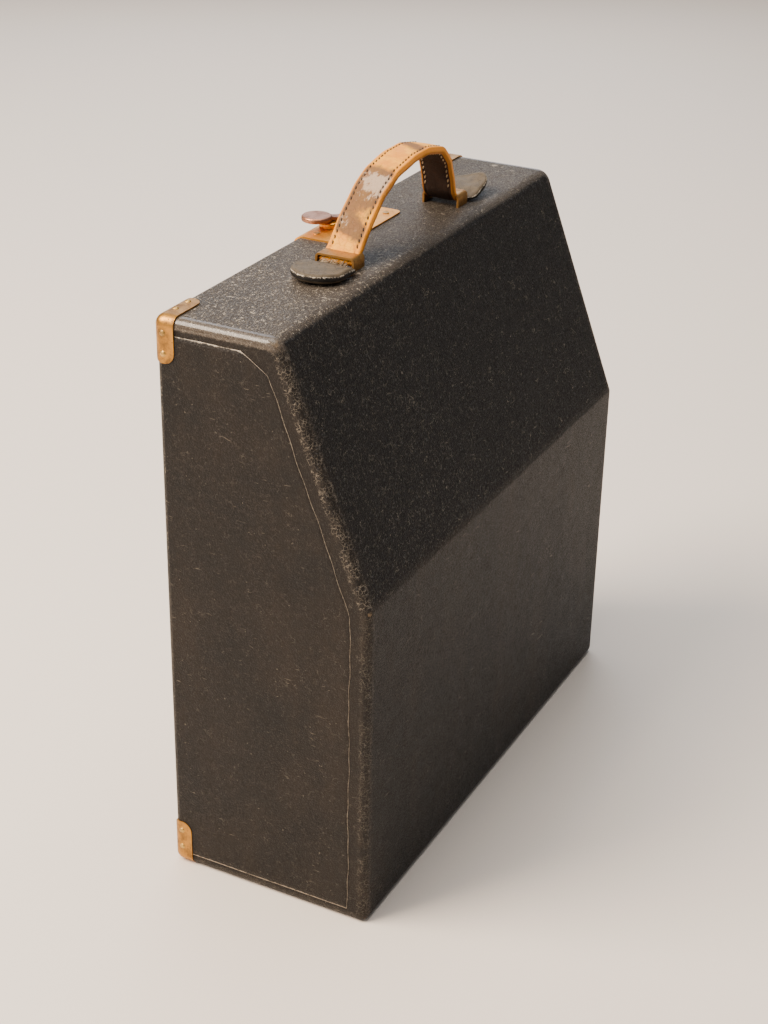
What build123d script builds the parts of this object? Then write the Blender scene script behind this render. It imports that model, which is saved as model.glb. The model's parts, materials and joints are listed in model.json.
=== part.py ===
from build123d import *
import math
import os

# Travelling barograph: a recording aneroid barometer in its covered carrying case.
#
# Frame: +Z up, +X along the case's length, +Y towards the rear door. The origin is the middle of the
# case's underside. The case stands on its floor with the handle up; the sloping side is the front (-Y).
# All sizes are in millimetres.

# ---- driving dimensions: case -------------------------------------------------------------------
CASE_LENGTH = 330.0
CASE_DEPTH = 122.0
CASE_HEIGHT = 330.0
KNEE_HEIGHT = 194.0  # where the upright front ends and the slope begins
TOP_DEPTH = 70.0  # front-to-back size of the flat top
COVER = 1.0  # leathercloth and its glue
WOOD = 7.0  # plywood walls
LINING = 0.8
EDGE_ROUND = 4.5
DOOR_GAP = 0.6
DOOR_THICK = 8.0

# ---- driving dimensions: hardware ---------------------------------------------------------------
BRASS_SHEET = 0.9
HARDWARE_X = 8.0  # the handle and the latch sit this far right of the middle
HANDLE_Y = 17.0
STRAP_WIDTH = 18.0
STRAP_THICK = 4.0
STAPLE_OFFSET = 63.5  # each staple's distance from the handle's middle
STAPLE_WIDTH = 12.0
LATCH_Y = 46.0  # the latch's pivot
HINGE_Y = 63.6
HINGE_Z = 8.3
HINGE_X = (-95.0, 95.0)

# ---- driving dimensions: instrument -------------------------------------------------------------
BOARD_THICK = 12.0
BED_THICK = 2.5
DRUM_X, DRUM_Y = -92.0, -6.0
DRUM_RADIUS = 43.0
CHART_HEIGHT = 92.0
CHART_THICK = 0.25
SPINDLE_RADIUS = 3.0
RUNNING_GAP = 0.05
GEAR_MODULE = 0.8
WHEEL_TEETH = 60
PINION_TEETH = 12
PINION_ANGLE = 45.0
PEN_PIVOT_X = 95.0
PEN_Y = 41.3  # plane that the pen arm swings up and down in
LEVER_ARM = 24.0  # rocker arm and pen crank: equal, so the link makes a parallelogram
STUD_ARM = 8.6
STACK_Y = -8.0
STACK_RADIUS = 27.0
CAPSULES = 7
CAPSULE_PITCH = 8.5
LIFTER_X = -36.0
LIFTER_THROW = 9.0

# ---- worked out from them -----------------------------------------------------------------------
HALF_X = CASE_LENGTH / 2
BACK_Y = CASE_DEPTH / 2
SHELL = COVER + WOOD
INNER_X = HALF_X - SHELL
FLOOR_Z = SHELL + LINING
BED_TOP = FLOOR_Z + BOARD_THICK + BED_THICK
DRUM_Z = BED_TOP + 9.7
CHART_Z = DRUM_Z + 2.2
PEN_Z = CHART_Z + CHART_HEIGHT / 2
STACK_X = PEN_PIVOT_X + STUD_ARM
STACK_Z = BED_TOP + 13.2
STACK_TOP = STACK_Z + CAPSULES * CAPSULE_PITCH
ROCKER_Z = STACK_TOP + 14.0
LINK_X = PEN_PIVOT_X + LEVER_ARM
GEAR_DISTANCE = GEAR_MODULE * (WHEEL_TEETH + PINION_TEETH) / 2
PINION_X = DRUM_X + GEAR_DISTANCE * math.cos(math.radians(PINION_ANGLE))
PINION_Y = DRUM_Y + GEAR_DISTANCE * math.sin(math.radians(PINION_ANGLE))
BARREL_X, BARREL_Y = DRUM_X - 20.0, DRUM_Y
BALANCE_X, BALANCE_Y = DRUM_X + 20.0, DRUM_Y
SHELF_Z = 168.0

# Side outline as (y, z), counter-clockwise: door edge first, then top, slope, front and floor.
OUTLINE = [
    (BACK_Y, 0.0),
    (BACK_Y, CASE_HEIGHT),
    (BACK_Y - TOP_DEPTH, CASE_HEIGHT),
    (-BACK_Y, KNEE_HEIGHT),
    (-BACK_Y, 0.0),
]
OUTLINE_ROUNDS = [4.6, 4.6, 9.0, 6.0, 4.6]


# ---- small helpers ------------------------------------------------------------------------------
def block(x0, x1, y0, y1, z0, z1):
    """A box between two corners."""
    return Pos((x0 + x1) / 2, (y0 + y1) / 2, (z0 + z1) / 2) * Box(x1 - x0, y1 - y0, z1 - z0)


def upright(x, y, z0, z1, radius):
    """A cylinder along Z."""
    return Pos(x, y, (z0 + z1) / 2) * Cylinder(radius, z1 - z0)


def crosswise(x, y0, y1, z, radius):
    """A cylinder along Y."""
    return Pos(x, (y0 + y1) / 2, z) * Rot(90, 0, 0) * Cylinder(radius, y1 - y0)


def lengthwise(x0, x1, y, z, radius):
    """A cylinder along X."""
    return Pos((x0 + x1) / 2, y, z) * Rot(0, 90, 0) * Cylinder(radius, x1 - x0)


def inset(points, distance):
    """Corners of a counter-clockwise outline moved inwards by a distance, with sharp mitres."""
    moved = []
    for i, (x, y) in enumerate(points):
        ax, ay = points[i - 1]
        bx, by = points[(i + 1) % len(points)]
        d1 = Vector(x - ax, y - ay).normalized()
        d2 = Vector(bx - x, by - y).normalized()
        n1, n2 = Vector(-d1.Y, d1.X), Vector(-d2.Y, d2.X)
        reach = distance / (1 + n1.dot(n2))
        moved.append((x + (n1.X + n2.X) * reach, y + (n1.Y + n2.Y) * reach))
    return moved


def side_prism(points, x0, x1):
    """A (y, z) outline carried from x0 to x1."""
    return Pos(x0, 0, 0) * extrude(Plane.YZ * Polygon(*points, align=None), amount=x1 - x0)


def rounded_case(depth):
    """The case's outside as one solid, shrunk by depth all over, with its corners rounded."""
    section = Polygon(*inset(OUTLINE, depth), align=None)
    for corner, radius in zip(inset(OUTLINE, depth), OUTLINE_ROUNDS):
        vertex = section.vertices().sort_by_distance((corner[0], corner[1], 0))[0]
        section = fillet(vertex, radius - depth)
    half = HALF_X - depth
    solid = extrude(Plane.YZ * section, amount=half, both=True)
    ends = solid.edges().filter_by(lambda e: abs(e.center().X) > half - 0.01)
    return fillet(ends, EDGE_ROUND - depth)


def only(shape):
    """The largest solid of a boolean's result, without slivers."""
    return shape.solids().sort_by(SortBy.VOLUME)[-1]


def group(pieces):
    return Compound(children=[p if isinstance(p, Solid) else only(p) for p in pieces])


# ---- shapes that several pieces share -----------------------------------------------------------
INNER = inset(OUTLINE, SHELL)
INNER[0] = (BACK_Y, SHELL)
INNER[1] = (BACK_Y, CASE_HEIGHT - SHELL)
OPEN_BACK = [(BACK_Y + 10, SHELL), (BACK_Y + 10, CASE_HEIGHT - SHELL)] + INNER[2:]

outer_case = rounded_case(0.0)
wood_case = rounded_case(COVER)
cavity = side_prism(OPEN_BACK, -INNER_X, INNER_X)
latch_bore = upright(HARDWARE_X, LATCH_Y, CASE_HEIGHT - 20, CASE_HEIGHT + 10, 2.6)


# ---- case: brass corners and their nails --------------------------------------------------------
ARM_NEAR, ARM_FAR = 49.5, BACK_Y + 1.6  # y range of a corner's arms
ARM_ROUND = 5.9
ARM_DEPTH = SHELL - 0.4  # how deep an arm's cutter reaches into the case
SKIN_REACH = 45.0  # size of the brass skin before the arms are cut from it
SKIN_FRONT = 30.0


def corner_shell(z0, z1, fillet_z):
    """Brass skin over one rear corner of the case, before its arms are cut out."""
    skin = block(HALF_X - SKIN_REACH, HALF_X + BRASS_SHEET, SKIN_FRONT, BACK_Y + BRASS_SHEET, z0, z1)
    far_x = skin.edges().filter_by(lambda e: abs(e.center().X - HALF_X - BRASS_SHEET) < 0.01)
    far_y = skin.edges().filter_by(lambda e: abs(e.center().Y - BACK_Y - BRASS_SHEET) < 0.01)
    level = skin.edges().filter_by(lambda e: abs(e.center().Z - fillet_z) < 0.01)
    chosen = [e for e in far_x if e in far_y or e in level] + [e for e in far_y if e in level]
    return fillet(chosen, EDGE_ROUND + BRASS_SHEET) - outer_case


def side_arm(z_end, z_edge):
    """Keeps the part of the skin that runs along the rear upright edge, with a round end."""
    arm = block(HALF_X - ARM_DEPTH, HALF_X + 2, ARM_NEAR, ARM_FAR, *sorted((z_end, z_edge)))
    ends = arm.edges().filter_by(Axis.X).filter_by(lambda e: abs(e.center().Z - z_end) < 0.01)
    return fillet(ends, ARM_ROUND)


def level_arm(x_end, z0, z1):
    """Keeps the part of the skin that runs along the top or underside, with a round end."""
    arm = block(x_end, HALF_X + 2, ARM_NEAR, ARM_FAR, z0, z1)
    ends = arm.edges().filter_by(Axis.Z).filter_by(lambda e: abs(e.center().X - x_end) < 0.01)
    return fillet(ends, ARM_ROUND)


TOP_ARM_Z = CASE_HEIGHT - 24.0
TOP_ARM_X = HALF_X - 28.0
LOW_ARM_Z = 28.0
NAIL_Y = 55.8
NAIL_INSET, NAIL_SPACING = 5.0, 11.0  # first nail from an arm's end, and the next nail from it
NAIL_DOME = 2.2  # radius of the sphere that a nail's head is cut from
NAIL_SUNK = 1.4  # how much of that sphere lies below the brass
NAIL_SHANK, NAIL_LENGTH = 0.7, 4.8


def top_corner(side):
    top = CASE_HEIGHT + BRASS_SHEET
    skin = corner_shell(CASE_HEIGHT - SKIN_REACH, top, top)
    arms = side_arm(TOP_ARM_Z, CASE_HEIGHT + 2)
    arms += level_arm(TOP_ARM_X, CASE_HEIGHT - ARM_DEPTH, CASE_HEIGHT + 2)
    piece = only(skin & arms) - nails_right
    return only(piece if side > 0 else mirror(piece, Plane.YZ))


def bottom_corner(side):
    skin = corner_shell(0.0, SKIN_REACH, 0.0)
    piece = only(skin & side_arm(LOW_ARM_Z, -2.0)) - nails_right
    return only(piece if side > 0 else mirror(piece, Plane.YZ))


def nail(x, y, z, tilt):
    """A domed nail: its head stands on the brass and its shank goes into the wood."""
    above = Pos(0, 0, NAIL_SUNK + NAIL_DOME) * Box(3 * NAIL_DOME, 3 * NAIL_DOME, 2 * NAIL_DOME)
    head = Pos(0, 0, -NAIL_SUNK) * (Sphere(NAIL_DOME) & above)
    shank = Pos(0, 0, -NAIL_LENGTH / 2) * Cylinder(NAIL_SHANK, NAIL_LENGTH)
    return Pos(x, y, z) * Rot(0, tilt, 0) * only(head + shank)


def right_nails():
    side_x = HALF_X + BRASS_SHEET
    top_z = CASE_HEIGHT + BRASS_SHEET
    steps = (NAIL_INSET, NAIL_INSET + NAIL_SPACING)
    heights = [TOP_ARM_Z + step for step in steps] + [LOW_ARM_Z - 1 - step for step in steps]
    made = [nail(side_x, NAIL_Y, z, 90) for z in heights]
    return made + [nail(TOP_ARM_X + step, NAIL_Y, top_z, 0) for step in steps]


# ---- case: panels, covering, lining -------------------------------------------------------------
def end_panel(side):
    x0, x1 = sorted((side * INNER_X, side * HALF_X))
    return only(wood_case & block(x0, x1, -BACK_Y, BACK_Y, 0, CASE_HEIGHT)) - all_shanks


def ring_panel(edge):
    """One of the boards between the ends: the board along that edge of the outline, mitred."""
    after = (edge + 1) % len(OUTLINE)
    quad = [OUTLINE[edge], OUTLINE[after], INNER[after], INNER[edge]]
    return only(wood_case & side_prism(quad, -INNER_X, INNER_X))


def lining():
    """Cloth on the inside of the walls, open at the back."""
    inside = inset(OUTLINE, SHELL + LINING)
    lip = BACK_Y - DOOR_THICK - DOOR_GAP
    outside = [(lip, SHELL), (lip, CASE_HEIGHT - SHELL)] + INNER[2:]
    hollow = [(BACK_Y, inside[0][1]), (BACK_Y, inside[1][1])] + inside[2:]
    sheet = side_prism(outside, -INNER_X, INNER_X) - side_prism(hollow, LINING - INNER_X, INNER_X - LINING)
    return only(sheet - latch_bore)


SEAM = 10.0  # how far the wrapped covering turns over onto the ends


def side_patch(side):
    """The flat sheet glued on an end, its outline set in from the edges and cut off at the top corner."""
    outline = inset(OUTLINE, SEAM)
    patch = side_prism(outline, HALF_X - COVER, HALF_X)
    return patch if side > 0 else mirror(patch, Plane.YZ)


def coverings():
    """Leathercloth: one wrapped sheet, a sheet on each end and one under the floor."""
    skin = outer_case - wood_case - cavity
    under = block(-HALF_X + SEAM, HALF_X - SEAM, -BACK_Y + SEAM, BACK_Y - SEAM, 0.0, COVER)
    left, right = side_patch(-1), side_patch(1)
    wrap = skin - under - left - right - hardware_holes - latch_bore
    return only(wrap), only(under), only(left), only(right)


# ---- case: door ---------------------------------------------------------------------------------
DOOR_X = INNER_X - DOOR_GAP
DOOR_Z0, DOOR_Z1 = SHELL + DOOR_GAP, CASE_HEIGHT - SHELL - DOOR_GAP


def door_layers():
    y0 = BACK_Y - DOOR_THICK
    cover = block(-DOOR_X, DOOR_X, BACK_Y - COVER, BACK_Y, DOOR_Z0, DOOR_Z1)
    board = block(-DOOR_X, DOOR_X, y0 + LINING, BACK_Y - COVER, DOOR_Z0, DOOR_Z1)
    cloth = block(-DOOR_X + 4, DOOR_X - 4, y0, y0 + LINING, DOOR_Z0 + 4, DOOR_Z1 - 4)
    return cover - door_shanks, board - door_shanks, cloth - door_shanks


STOP_WIDTH, STOP_THICK = 9.0, 6.4
STOP_TOP = CASE_HEIGHT - 32.0


def door_stops():
    """Battens that the closed door meets, one at each end."""
    y1 = BACK_Y - DOOR_THICK - DOOR_GAP
    right = block(INNER_X - STOP_WIDTH, INNER_X - LINING, y1 - STOP_THICK, y1, BED_TOP, STOP_TOP)
    return group([right, mirror(right, Plane.YZ)])


KEEPER_X = HARDWARE_X + 9.0
KEEPER_PIN_Y = LATCH_Y - 11.0
CLAW_Z = CASE_HEIGHT - 13.5
KEEPER_HALF, KEEPER_SHEET = 11.0, 1.2


def door_keeper():
    """Brass angle on the door with the pin that the latch's claw holds."""
    face = BACK_Y - DOOR_THICK
    sides = (KEEPER_X - KEEPER_HALF, KEEPER_X + KEEPER_HALF)
    plate = block(*sides, face - KEEPER_SHEET, face, CLAW_Z - 17, CLAW_Z - 2.5)
    tongue = block(KEEPER_X - 3, KEEPER_X + 3, KEEPER_PIN_Y - 3, face, CLAW_Z - 4.0, CLAW_Z - 2.5)
    pin = upright(KEEPER_X, KEEPER_PIN_Y, CLAW_Z - 3, CLAW_Z + 3.0, 1.5)
    return only(plate + tongue + pin) - door_shanks


HINGE_LENGTH = 42.0
KNUCKLE = 2.4
HINGE_PIN = 1.3
LEAF = 1.2
LEAF_REACH = 21.0  # how far the door's leaf runs up from the hinge's axis
LEAF_CLEAR = KNUCKLE + 0.5


def knuckle_spans(x):
    """Five knuckles along one hinge: even ones on the case, odd ones on the door."""
    step = HINGE_LENGTH / 5
    start = x - HINGE_LENGTH / 2
    return [(start + i * step + 0.15, start + (i + 1) * step - 0.15) for i in range(5)]


def hinge_leaf(x, on_door):
    """One leaf of a butt hinge screwed to the outside: a plate with its knuckles."""
    leaf_x = (x - HINGE_LENGTH / 2, x + HINGE_LENGTH / 2)
    leaf_y = (BACK_Y, BACK_Y + LEAF)
    if on_door:
        plate = block(*leaf_x, *leaf_y, HINGE_Z + LEAF_CLEAR, HINGE_Z + LEAF_REACH)
        web_z = (HINGE_Z, HINGE_Z + 4)
    else:
        plate = block(*leaf_x, *leaf_y, 0.8, HINGE_Z - LEAF_CLEAR)
        web_z = (HINGE_Z - 4, HINGE_Z)
    solid = plate
    for i, (x0, x1) in enumerate(knuckle_spans(x)):
        if (i % 2 == 1) == on_door:
            solid += lengthwise(x0, x1, HINGE_Y, HINGE_Z, KNUCKLE)
            solid += block(x0, x1, *leaf_y, *web_z)
    return only(solid - lengthwise(x - 30, x + 30, HINGE_Y, HINGE_Z, HINGE_PIN + RUNNING_GAP))


def case_hinges():
    """The case's leaves, each with the pin that is fixed in it."""
    pieces = []
    for x in HINGE_X:
        pin = lengthwise(x - HINGE_LENGTH / 2, x + HINGE_LENGTH / 2, HINGE_Y, HINGE_Z, HINGE_PIN)
        pieces += [hinge_leaf(x, False) - root_shanks, pin]
    return group(pieces)


# ---- screws -------------------------------------------------------------------------------------
def screw(at, facing, radius=2.0, length=6.0, proud=0.6):
    """A slotted round-head screw. facing is the direction that its head faces."""
    head = Pos(0, 0, proud / 2) * Cylinder(radius, proud)
    shank = Pos(0, 0, -length / 2) * Cylinder(radius * 0.5, length)
    slot = Pos(0, 0, proud) * Box(radius * 2.2, 0.5, 0.5)
    turn = {"+Z": Rot(0, 0, 30), "+Y": Rot(-90, 0, 0) * Rot(0, 0, 20), "-Y": Rot(90, 0, 0) * Rot(0, 0, 70)}
    return Pos(*at) * turn[facing] * only(head + shank - slot)


HINGE_SCREWS = (-14.0, 0.0, 14.0)  # along the hinge from its middle
LATCH_SCREWS = [(-26.0, 36.0), (-26.0, 52.0), (26.0, 36.0), (26.0, 52.0)]
BED_SCREWS = [(-133.0, -39.0), (-133.0, 37.0), (133.0, -39.0), (133.0, 37.0), (20.0, -39.0), (20.0, 37.0)]


def root_screws():
    top = CASE_HEIGHT + BRASS_SHEET
    made = [screw((HARDWARE_X + x, y, top), "+Z", 1.8, 5.0, 0.5) for x, y in LATCH_SCREWS]
    made += [screw((x, y, BED_TOP), "+Z", 2.6, 9.0, 1.1) for x, y in BED_SCREWS]
    made += [screw((x + dx, BACK_Y + LEAF, 3.0), "+Y", 1.5, 6.0) for x in HINGE_X for dx in HINGE_SCREWS]
    return made


def door_screws():
    made = [
        screw((x + dx, BACK_Y + LEAF, HINGE_Z + 14.5 + dz), "+Y", 1.9, 6.0)
        for x in HINGE_X
        for dx, dz in zip(HINGE_SCREWS, (0.0, 2.5, 0.0))
    ]
    face = BACK_Y - DOOR_THICK - KEEPER_SHEET
    return made + [screw((KEEPER_X + dx, face, CLAW_Z - 11), "-Y", 1.9, 5.0) for dx in (-7, 7)]


# ---- latch --------------------------------------------------------------------------------------
PLATE_X = 34.5
PLATE_FRONT = 30.0
LIP_DROP = 7.2


def latch_plate():
    """Brass plate on the top, bent down over the rear edge."""
    x0, x1 = HARDWARE_X - PLATE_X, HARDWARE_X + PLATE_X
    heights = (CASE_HEIGHT - LIP_DROP, CASE_HEIGHT + BRASS_SHEET)
    skin = block(x0, x1, PLATE_FRONT, BACK_Y + BRASS_SHEET, *heights)
    bend = skin.edges().filter_by(Axis.X).sort_by(Axis.Z)[-2:].sort_by(Axis.Y)[-1]
    skin = fillet(bend, EDGE_ROUND + BRASS_SHEET) - outer_case
    skin = skin - block(x0 - 1, x1 + 1, 0, BACK_Y - 5, 0, CASE_HEIGHT)
    corners = skin.edges().filter_by(Axis.Z).filter_by(lambda e: e.center().Y < PLATE_FRONT + 0.1)
    skin = fillet(corners, 4.0)
    return only(skin - latch_bore) - root_shanks


LEVER_TOP = CASE_HEIGHT + BRASS_SHEET + 3.2
THUMB_X, THUMB_Y = HARDWARE_X - 17.0, LATCH_Y + 11.0
THUMB_RADIUS = 8.6
CLAW_REACH, CLAW_START, CLAW_SWEEP = 12.5, -75.0, -60.0


def latch_claw():
    """Pivot through the top, with the brass lever body above it and the claw's sector below."""
    low = CASE_HEIGHT + BRASS_SHEET + 0.15
    body = Pos(HARDWARE_X - 1.5, LATCH_Y + 1.5, (low + LEVER_TOP) / 2) * Rot(0, 0, 155) * extrude(
        SlotCenterToCenter(21, 12), amount=(LEVER_TOP - low) / 2, both=True
    )
    body = fillet(body.edges().group_by(Axis.Z)[-1], 1.4)
    pivot = upright(HARDWARE_X, LATCH_Y, CLAW_Z, CASE_HEIGHT + 3, 2.5)
    hub = upright(HARDWARE_X, LATCH_Y, CLAW_Z, CLAW_Z + 2, 4.0)
    rim = CenterArc((0, 0), CLAW_REACH, CLAW_START, CLAW_SWEEP)
    wedge = make_face(Line((0, 0), rim @ 0) + rim + Line(rim @ 1, (0, 0)))
    sector = Pos(HARDWARE_X, LATCH_Y, CLAW_Z) * extrude(wedge, amount=2, dir=(0, 0, 1))
    return only(body + pivot + hub + sector)


def thumb_lever():
    """The round thumb piece, raised on a neck that rises from the lever's end."""
    disc = upright(THUMB_X, THUMB_Y, LEVER_TOP + 1.2, LEVER_TOP + 4.2, THUMB_RADIUS)
    disc = fillet(disc.edges().group_by(Axis.Z)[-1], 1.2)
    disc = fillet(disc.edges().group_by(Axis.Z)[0], 0.8)
    heading = math.degrees(math.atan2(THUMB_Y - LATCH_Y, THUMB_X - HARDWARE_X))
    profile = [(3.0, 0.0), (9.0, 0.0), (14.0, 1.4), (14.0, 3.4), (8.0, 1.9), (3.0, 1.5)]
    face = make_face(Polyline(*[(r, 3.2, LEVER_TOP + h) for r, h in profile], close=True))
    neck = Pos(HARDWARE_X, LATCH_Y, 0) * Rot(0, 0, heading) * extrude(face, amount=6.4, dir=(0, -1, 0))
    return only(disc + neck)


# ---- handle -------------------------------------------------------------------------------------
STAPLE_TOP = CASE_HEIGHT + 7.4
STAPLE_SHEET = 1.2
STAPLE_INSIDE = 10.4  # half the width between a staple's legs
TAB_REACH = 30.0
TAB_HALF = 15.5
TAB_Z0, TAB_Z1 = CASE_HEIGHT + 0.9, CASE_HEIGHT + 6.2
TONGUE_Z0, TONGUE_Z1 = CASE_HEIGHT + 1.9, CASE_HEIGHT + 5.3
TONGUE_END = 54.4  # where a tongue meets the strap's foot, from the handle's middle

# Middle line of the raised strap as (x, height above the top), left foot to crown and crown to right foot.
LEFT_LINE = [(-44.0, 4.2), (-33.0, 17.2), (-19.0, 28.8), (-3.0, 37.2), (12.0, 41.2), (26.6, 42.2)]
RIGHT_LINE = [(27.4, 42.2), (39.5, 40.8), (50.0, 35.0), (55.4, 26.0), (57.6, 15.6), (59.8, 4.6)]


def staple(side):
    """Brass loop that the strap runs through, its legs driven into the top."""
    x = HARDWARE_X + side * STAPLE_OFFSET
    half = STAPLE_INSIDE + STAPLE_SHEET
    outside = block(x - 6, x + 6, HANDLE_Y - half, HANDLE_Y + half, CASE_HEIGHT - 6, STAPLE_TOP)
    outside = fillet(outside.edges().filter_by(Axis.X).group_by(Axis.Z)[-1], 2.6)
    legs = (HANDLE_Y - STAPLE_INSIDE, HANDLE_Y + STAPLE_INSIDE)
    inside = block(x - 7, x + 7, *legs, 0, STAPLE_TOP - STAPLE_SHEET)
    inside = fillet(inside.edges().filter_by(Axis.X).group_by(Axis.Z)[-1], 1.4)
    return only(outside - inside)


def strap_half(line):
    """One half of the strap: its middle line given a thickness and a width, with softened edges."""
    tangents = []
    for i in range(len(line)):
        a, b = line[max(i - 1, 0)], line[min(i + 1, len(line) - 1)]
        tangents.append(Vector(b[0] - a[0], b[1] - a[1]).normalized())
    shift = STRAP_THICK / 2
    over = [(x - t.Y * shift, z + t.X * shift) for (x, z), t in zip(line, tangents)]
    under = [(x + t.Y * shift, z - t.X * shift) for (x, z), t in zip(line, tangents)]
    outline = Spline(*over) + Line(over[-1], under[-1]) + Spline(*under[::-1]) + Line(under[0], over[0])
    frame = Plane(origin=(0, HANDLE_Y + STRAP_WIDTH / 2, CASE_HEIGHT), x_dir=(1, 0, 0), z_dir=(0, -1, 0))
    strap = extrude(frame * make_face(outline), amount=STRAP_WIDTH)
    long_edges = strap.edges().filter_by(lambda e: e.length > 40)
    return only(fillet(long_edges, 1.2))


def handle_tab(side):
    """Rounded leather end with the tongue that runs back through the staple."""
    inner = STAPLE_OFFSET + STAPLE_WIDTH / 2 + 0.5
    straight = TAB_REACH - TAB_HALF
    tab = block(inner, inner + straight, HANDLE_Y - TAB_HALF, HANDLE_Y + TAB_HALF, TAB_Z0, TAB_Z1)
    tab += upright(inner + straight, HANDLE_Y, TAB_Z0, TAB_Z1, TAB_HALF)
    tab = fillet(tab.edges().group_by(Axis.Z)[-1], 1.6)
    half = STRAP_WIDTH / 2 - 0.4
    tongue = block(TONGUE_END, inner + 5, HANDLE_Y - half, HANDLE_Y + half, TONGUE_Z0, TONGUE_Z1)
    piece = only(tab + tongue)
    return only(Pos(HARDWARE_X, 0, 0) * (piece if side > 0 else mirror(piece, Plane.YZ)))


# ---- instrument: base ---------------------------------------------------------------------------
BOARD_X, BOARD_FRONT, BOARD_BACK = 148.0, -50.0, 48.0
PLATE_MARGIN = 4.0  # bedplate's edges from the board's, front and back
BED_X = 140.0


def base_board():
    board = block(-BOARD_X, BOARD_X, BOARD_FRONT, BOARD_BACK, FLOOR_Z, FLOOR_Z + BOARD_THICK)
    rim = board.edges().group_by(Axis.Z)[-1]
    return only(fillet(rim, 3.5)) - root_shanks


def bedplate():
    front, back = BOARD_FRONT + PLATE_MARGIN, BOARD_BACK - PLATE_MARGIN
    plate = block(-BED_X, BED_X, front, back, BED_TOP - BED_THICK, BED_TOP)
    plate = fillet(plate.edges().filter_by(Axis.Z), 6)
    plate = chamfer(plate.edges().group_by(Axis.Z)[-1], 0.5)
    plate -= upright(LIFTER_X, PEN_Y - 2.0, 0, BED_TOP + 1, 2.0 + RUNNING_GAP)
    return only(plate - root_shanks)


# ---- instrument: gears --------------------------------------------------------------------------
def involute_outline(teeth, module, slack):
    """Corner points of an involute gear. slack is the tooth's loss of thickness at the pitch circle."""
    pressure = math.radians(20)
    pitch = module * teeth / 2
    base = pitch * math.cos(pressure)
    root, tip = pitch - 1.2 * module, pitch + 0.95 * module
    half_tooth = math.pi / (2 * teeth) - slack / (2 * pitch)
    lead = math.tan(pressure) - pressure
    points = []
    for k in range(teeth):
        middle = 2 * math.pi * k / teeth
        flank = [(root, half_tooth + lead)]
        for step in range(6):
            radius = max(base, root) + (tip - max(base, root)) * step / 5
            roll = math.acos(base / radius)
            flank.append((radius, half_tooth + lead - (math.tan(roll) - roll)))
        points += [(r, middle - a) for r, a in flank] + [(r, middle + a) for r, a in reversed(flank)]
    return [(r * math.cos(a), r * math.sin(a)) for r, a in points]


def gear(teeth, z0, z1, slack=0.16):
    """An upright gear at the origin, tooth 0 centred on +X."""
    face = make_face(Polyline(*involute_outline(teeth, GEAR_MODULE, slack), close=True))
    return Pos(0, 0, z0) * extrude(face, amount=z1 - z0)


WHEEL_Z0, WHEEL_Z1 = BED_TOP + 3.0, BED_TOP + 5.5
WHEEL_HOLES, WHEEL_HOLE_OUT, WHEEL_HOLE_RADIUS = 5, 14.0, 4.6
LAST_WHEEL_RADIUS = 12.5  # the going train's last wheel, on the pinion's arbor


def fixed_wheel():
    """Great wheel that stands still on the spindle; the drum's pinion walks round it."""
    wheel = gear(WHEEL_TEETH, WHEEL_Z0, WHEEL_Z1) - Cylinder(5.0, 200)
    for k in range(WHEEL_HOLES):
        wheel -= Rot(0, 0, 360 * k / WHEEL_HOLES) * upright(WHEEL_HOLE_OUT, 0, 0, 100, WHEEL_HOLE_RADIUS)
    return Pos(DRUM_X, DRUM_Y, 0) * Rot(0, 0, PINION_ANGLE) * only(wheel)


def drive_pinion():
    """Pinion with its gap facing the fixed wheel's tooth, and the going train's last wheel on its arbor."""
    half_tooth = 180.0 / PINION_TEETH
    leaves = only(gear(PINION_TEETH, WHEEL_Z0 - 0.2, WHEEL_Z1 + 0.5))
    leaf = Rot(0, 0, 180 + PINION_ANGLE + half_tooth) * leaves
    arbor = upright(0, 0, WHEEL_Z0 - 0.2, CLOCK_LOW + 18, 1.0)
    boss = upright(0, 0, CLOCK_LOW + 7, CLOCK_LOW + 12, 3.0)
    wheel = upright(0, 0, CLOCK_LOW + 8, CLOCK_LOW + 10.5, LAST_WHEEL_RADIUS)
    return Pos(PINION_X, PINION_Y, 0) * only(leaf + arbor + boss + wheel)


# ---- instrument: drum and clock -----------------------------------------------------------------
DRUM_TOP = DRUM_Z + 98.0
DRUM_LIP = 2.0
DRUM_WALL = 1.0
KEY_HOLE = 2.2
TUBE_RADIUS = 5.0
CLOCK_LOW = DRUM_Z + 9.0
CLOCK_HIGH = DRUM_Z + 46.0


def drum_spindle():
    foot = upright(0, 0, BED_TOP, BED_TOP + 3.0, 10.0)
    seat = upright(0, 0, BED_TOP, WHEEL_Z1 + 1.0, 5.0)
    shaft = upright(0, 0, BED_TOP, DRUM_TOP + 9.0, SPINDLE_RADIUS)
    return Pos(DRUM_X, DRUM_Y, 0) * only(foot + seat + shaft)


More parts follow.
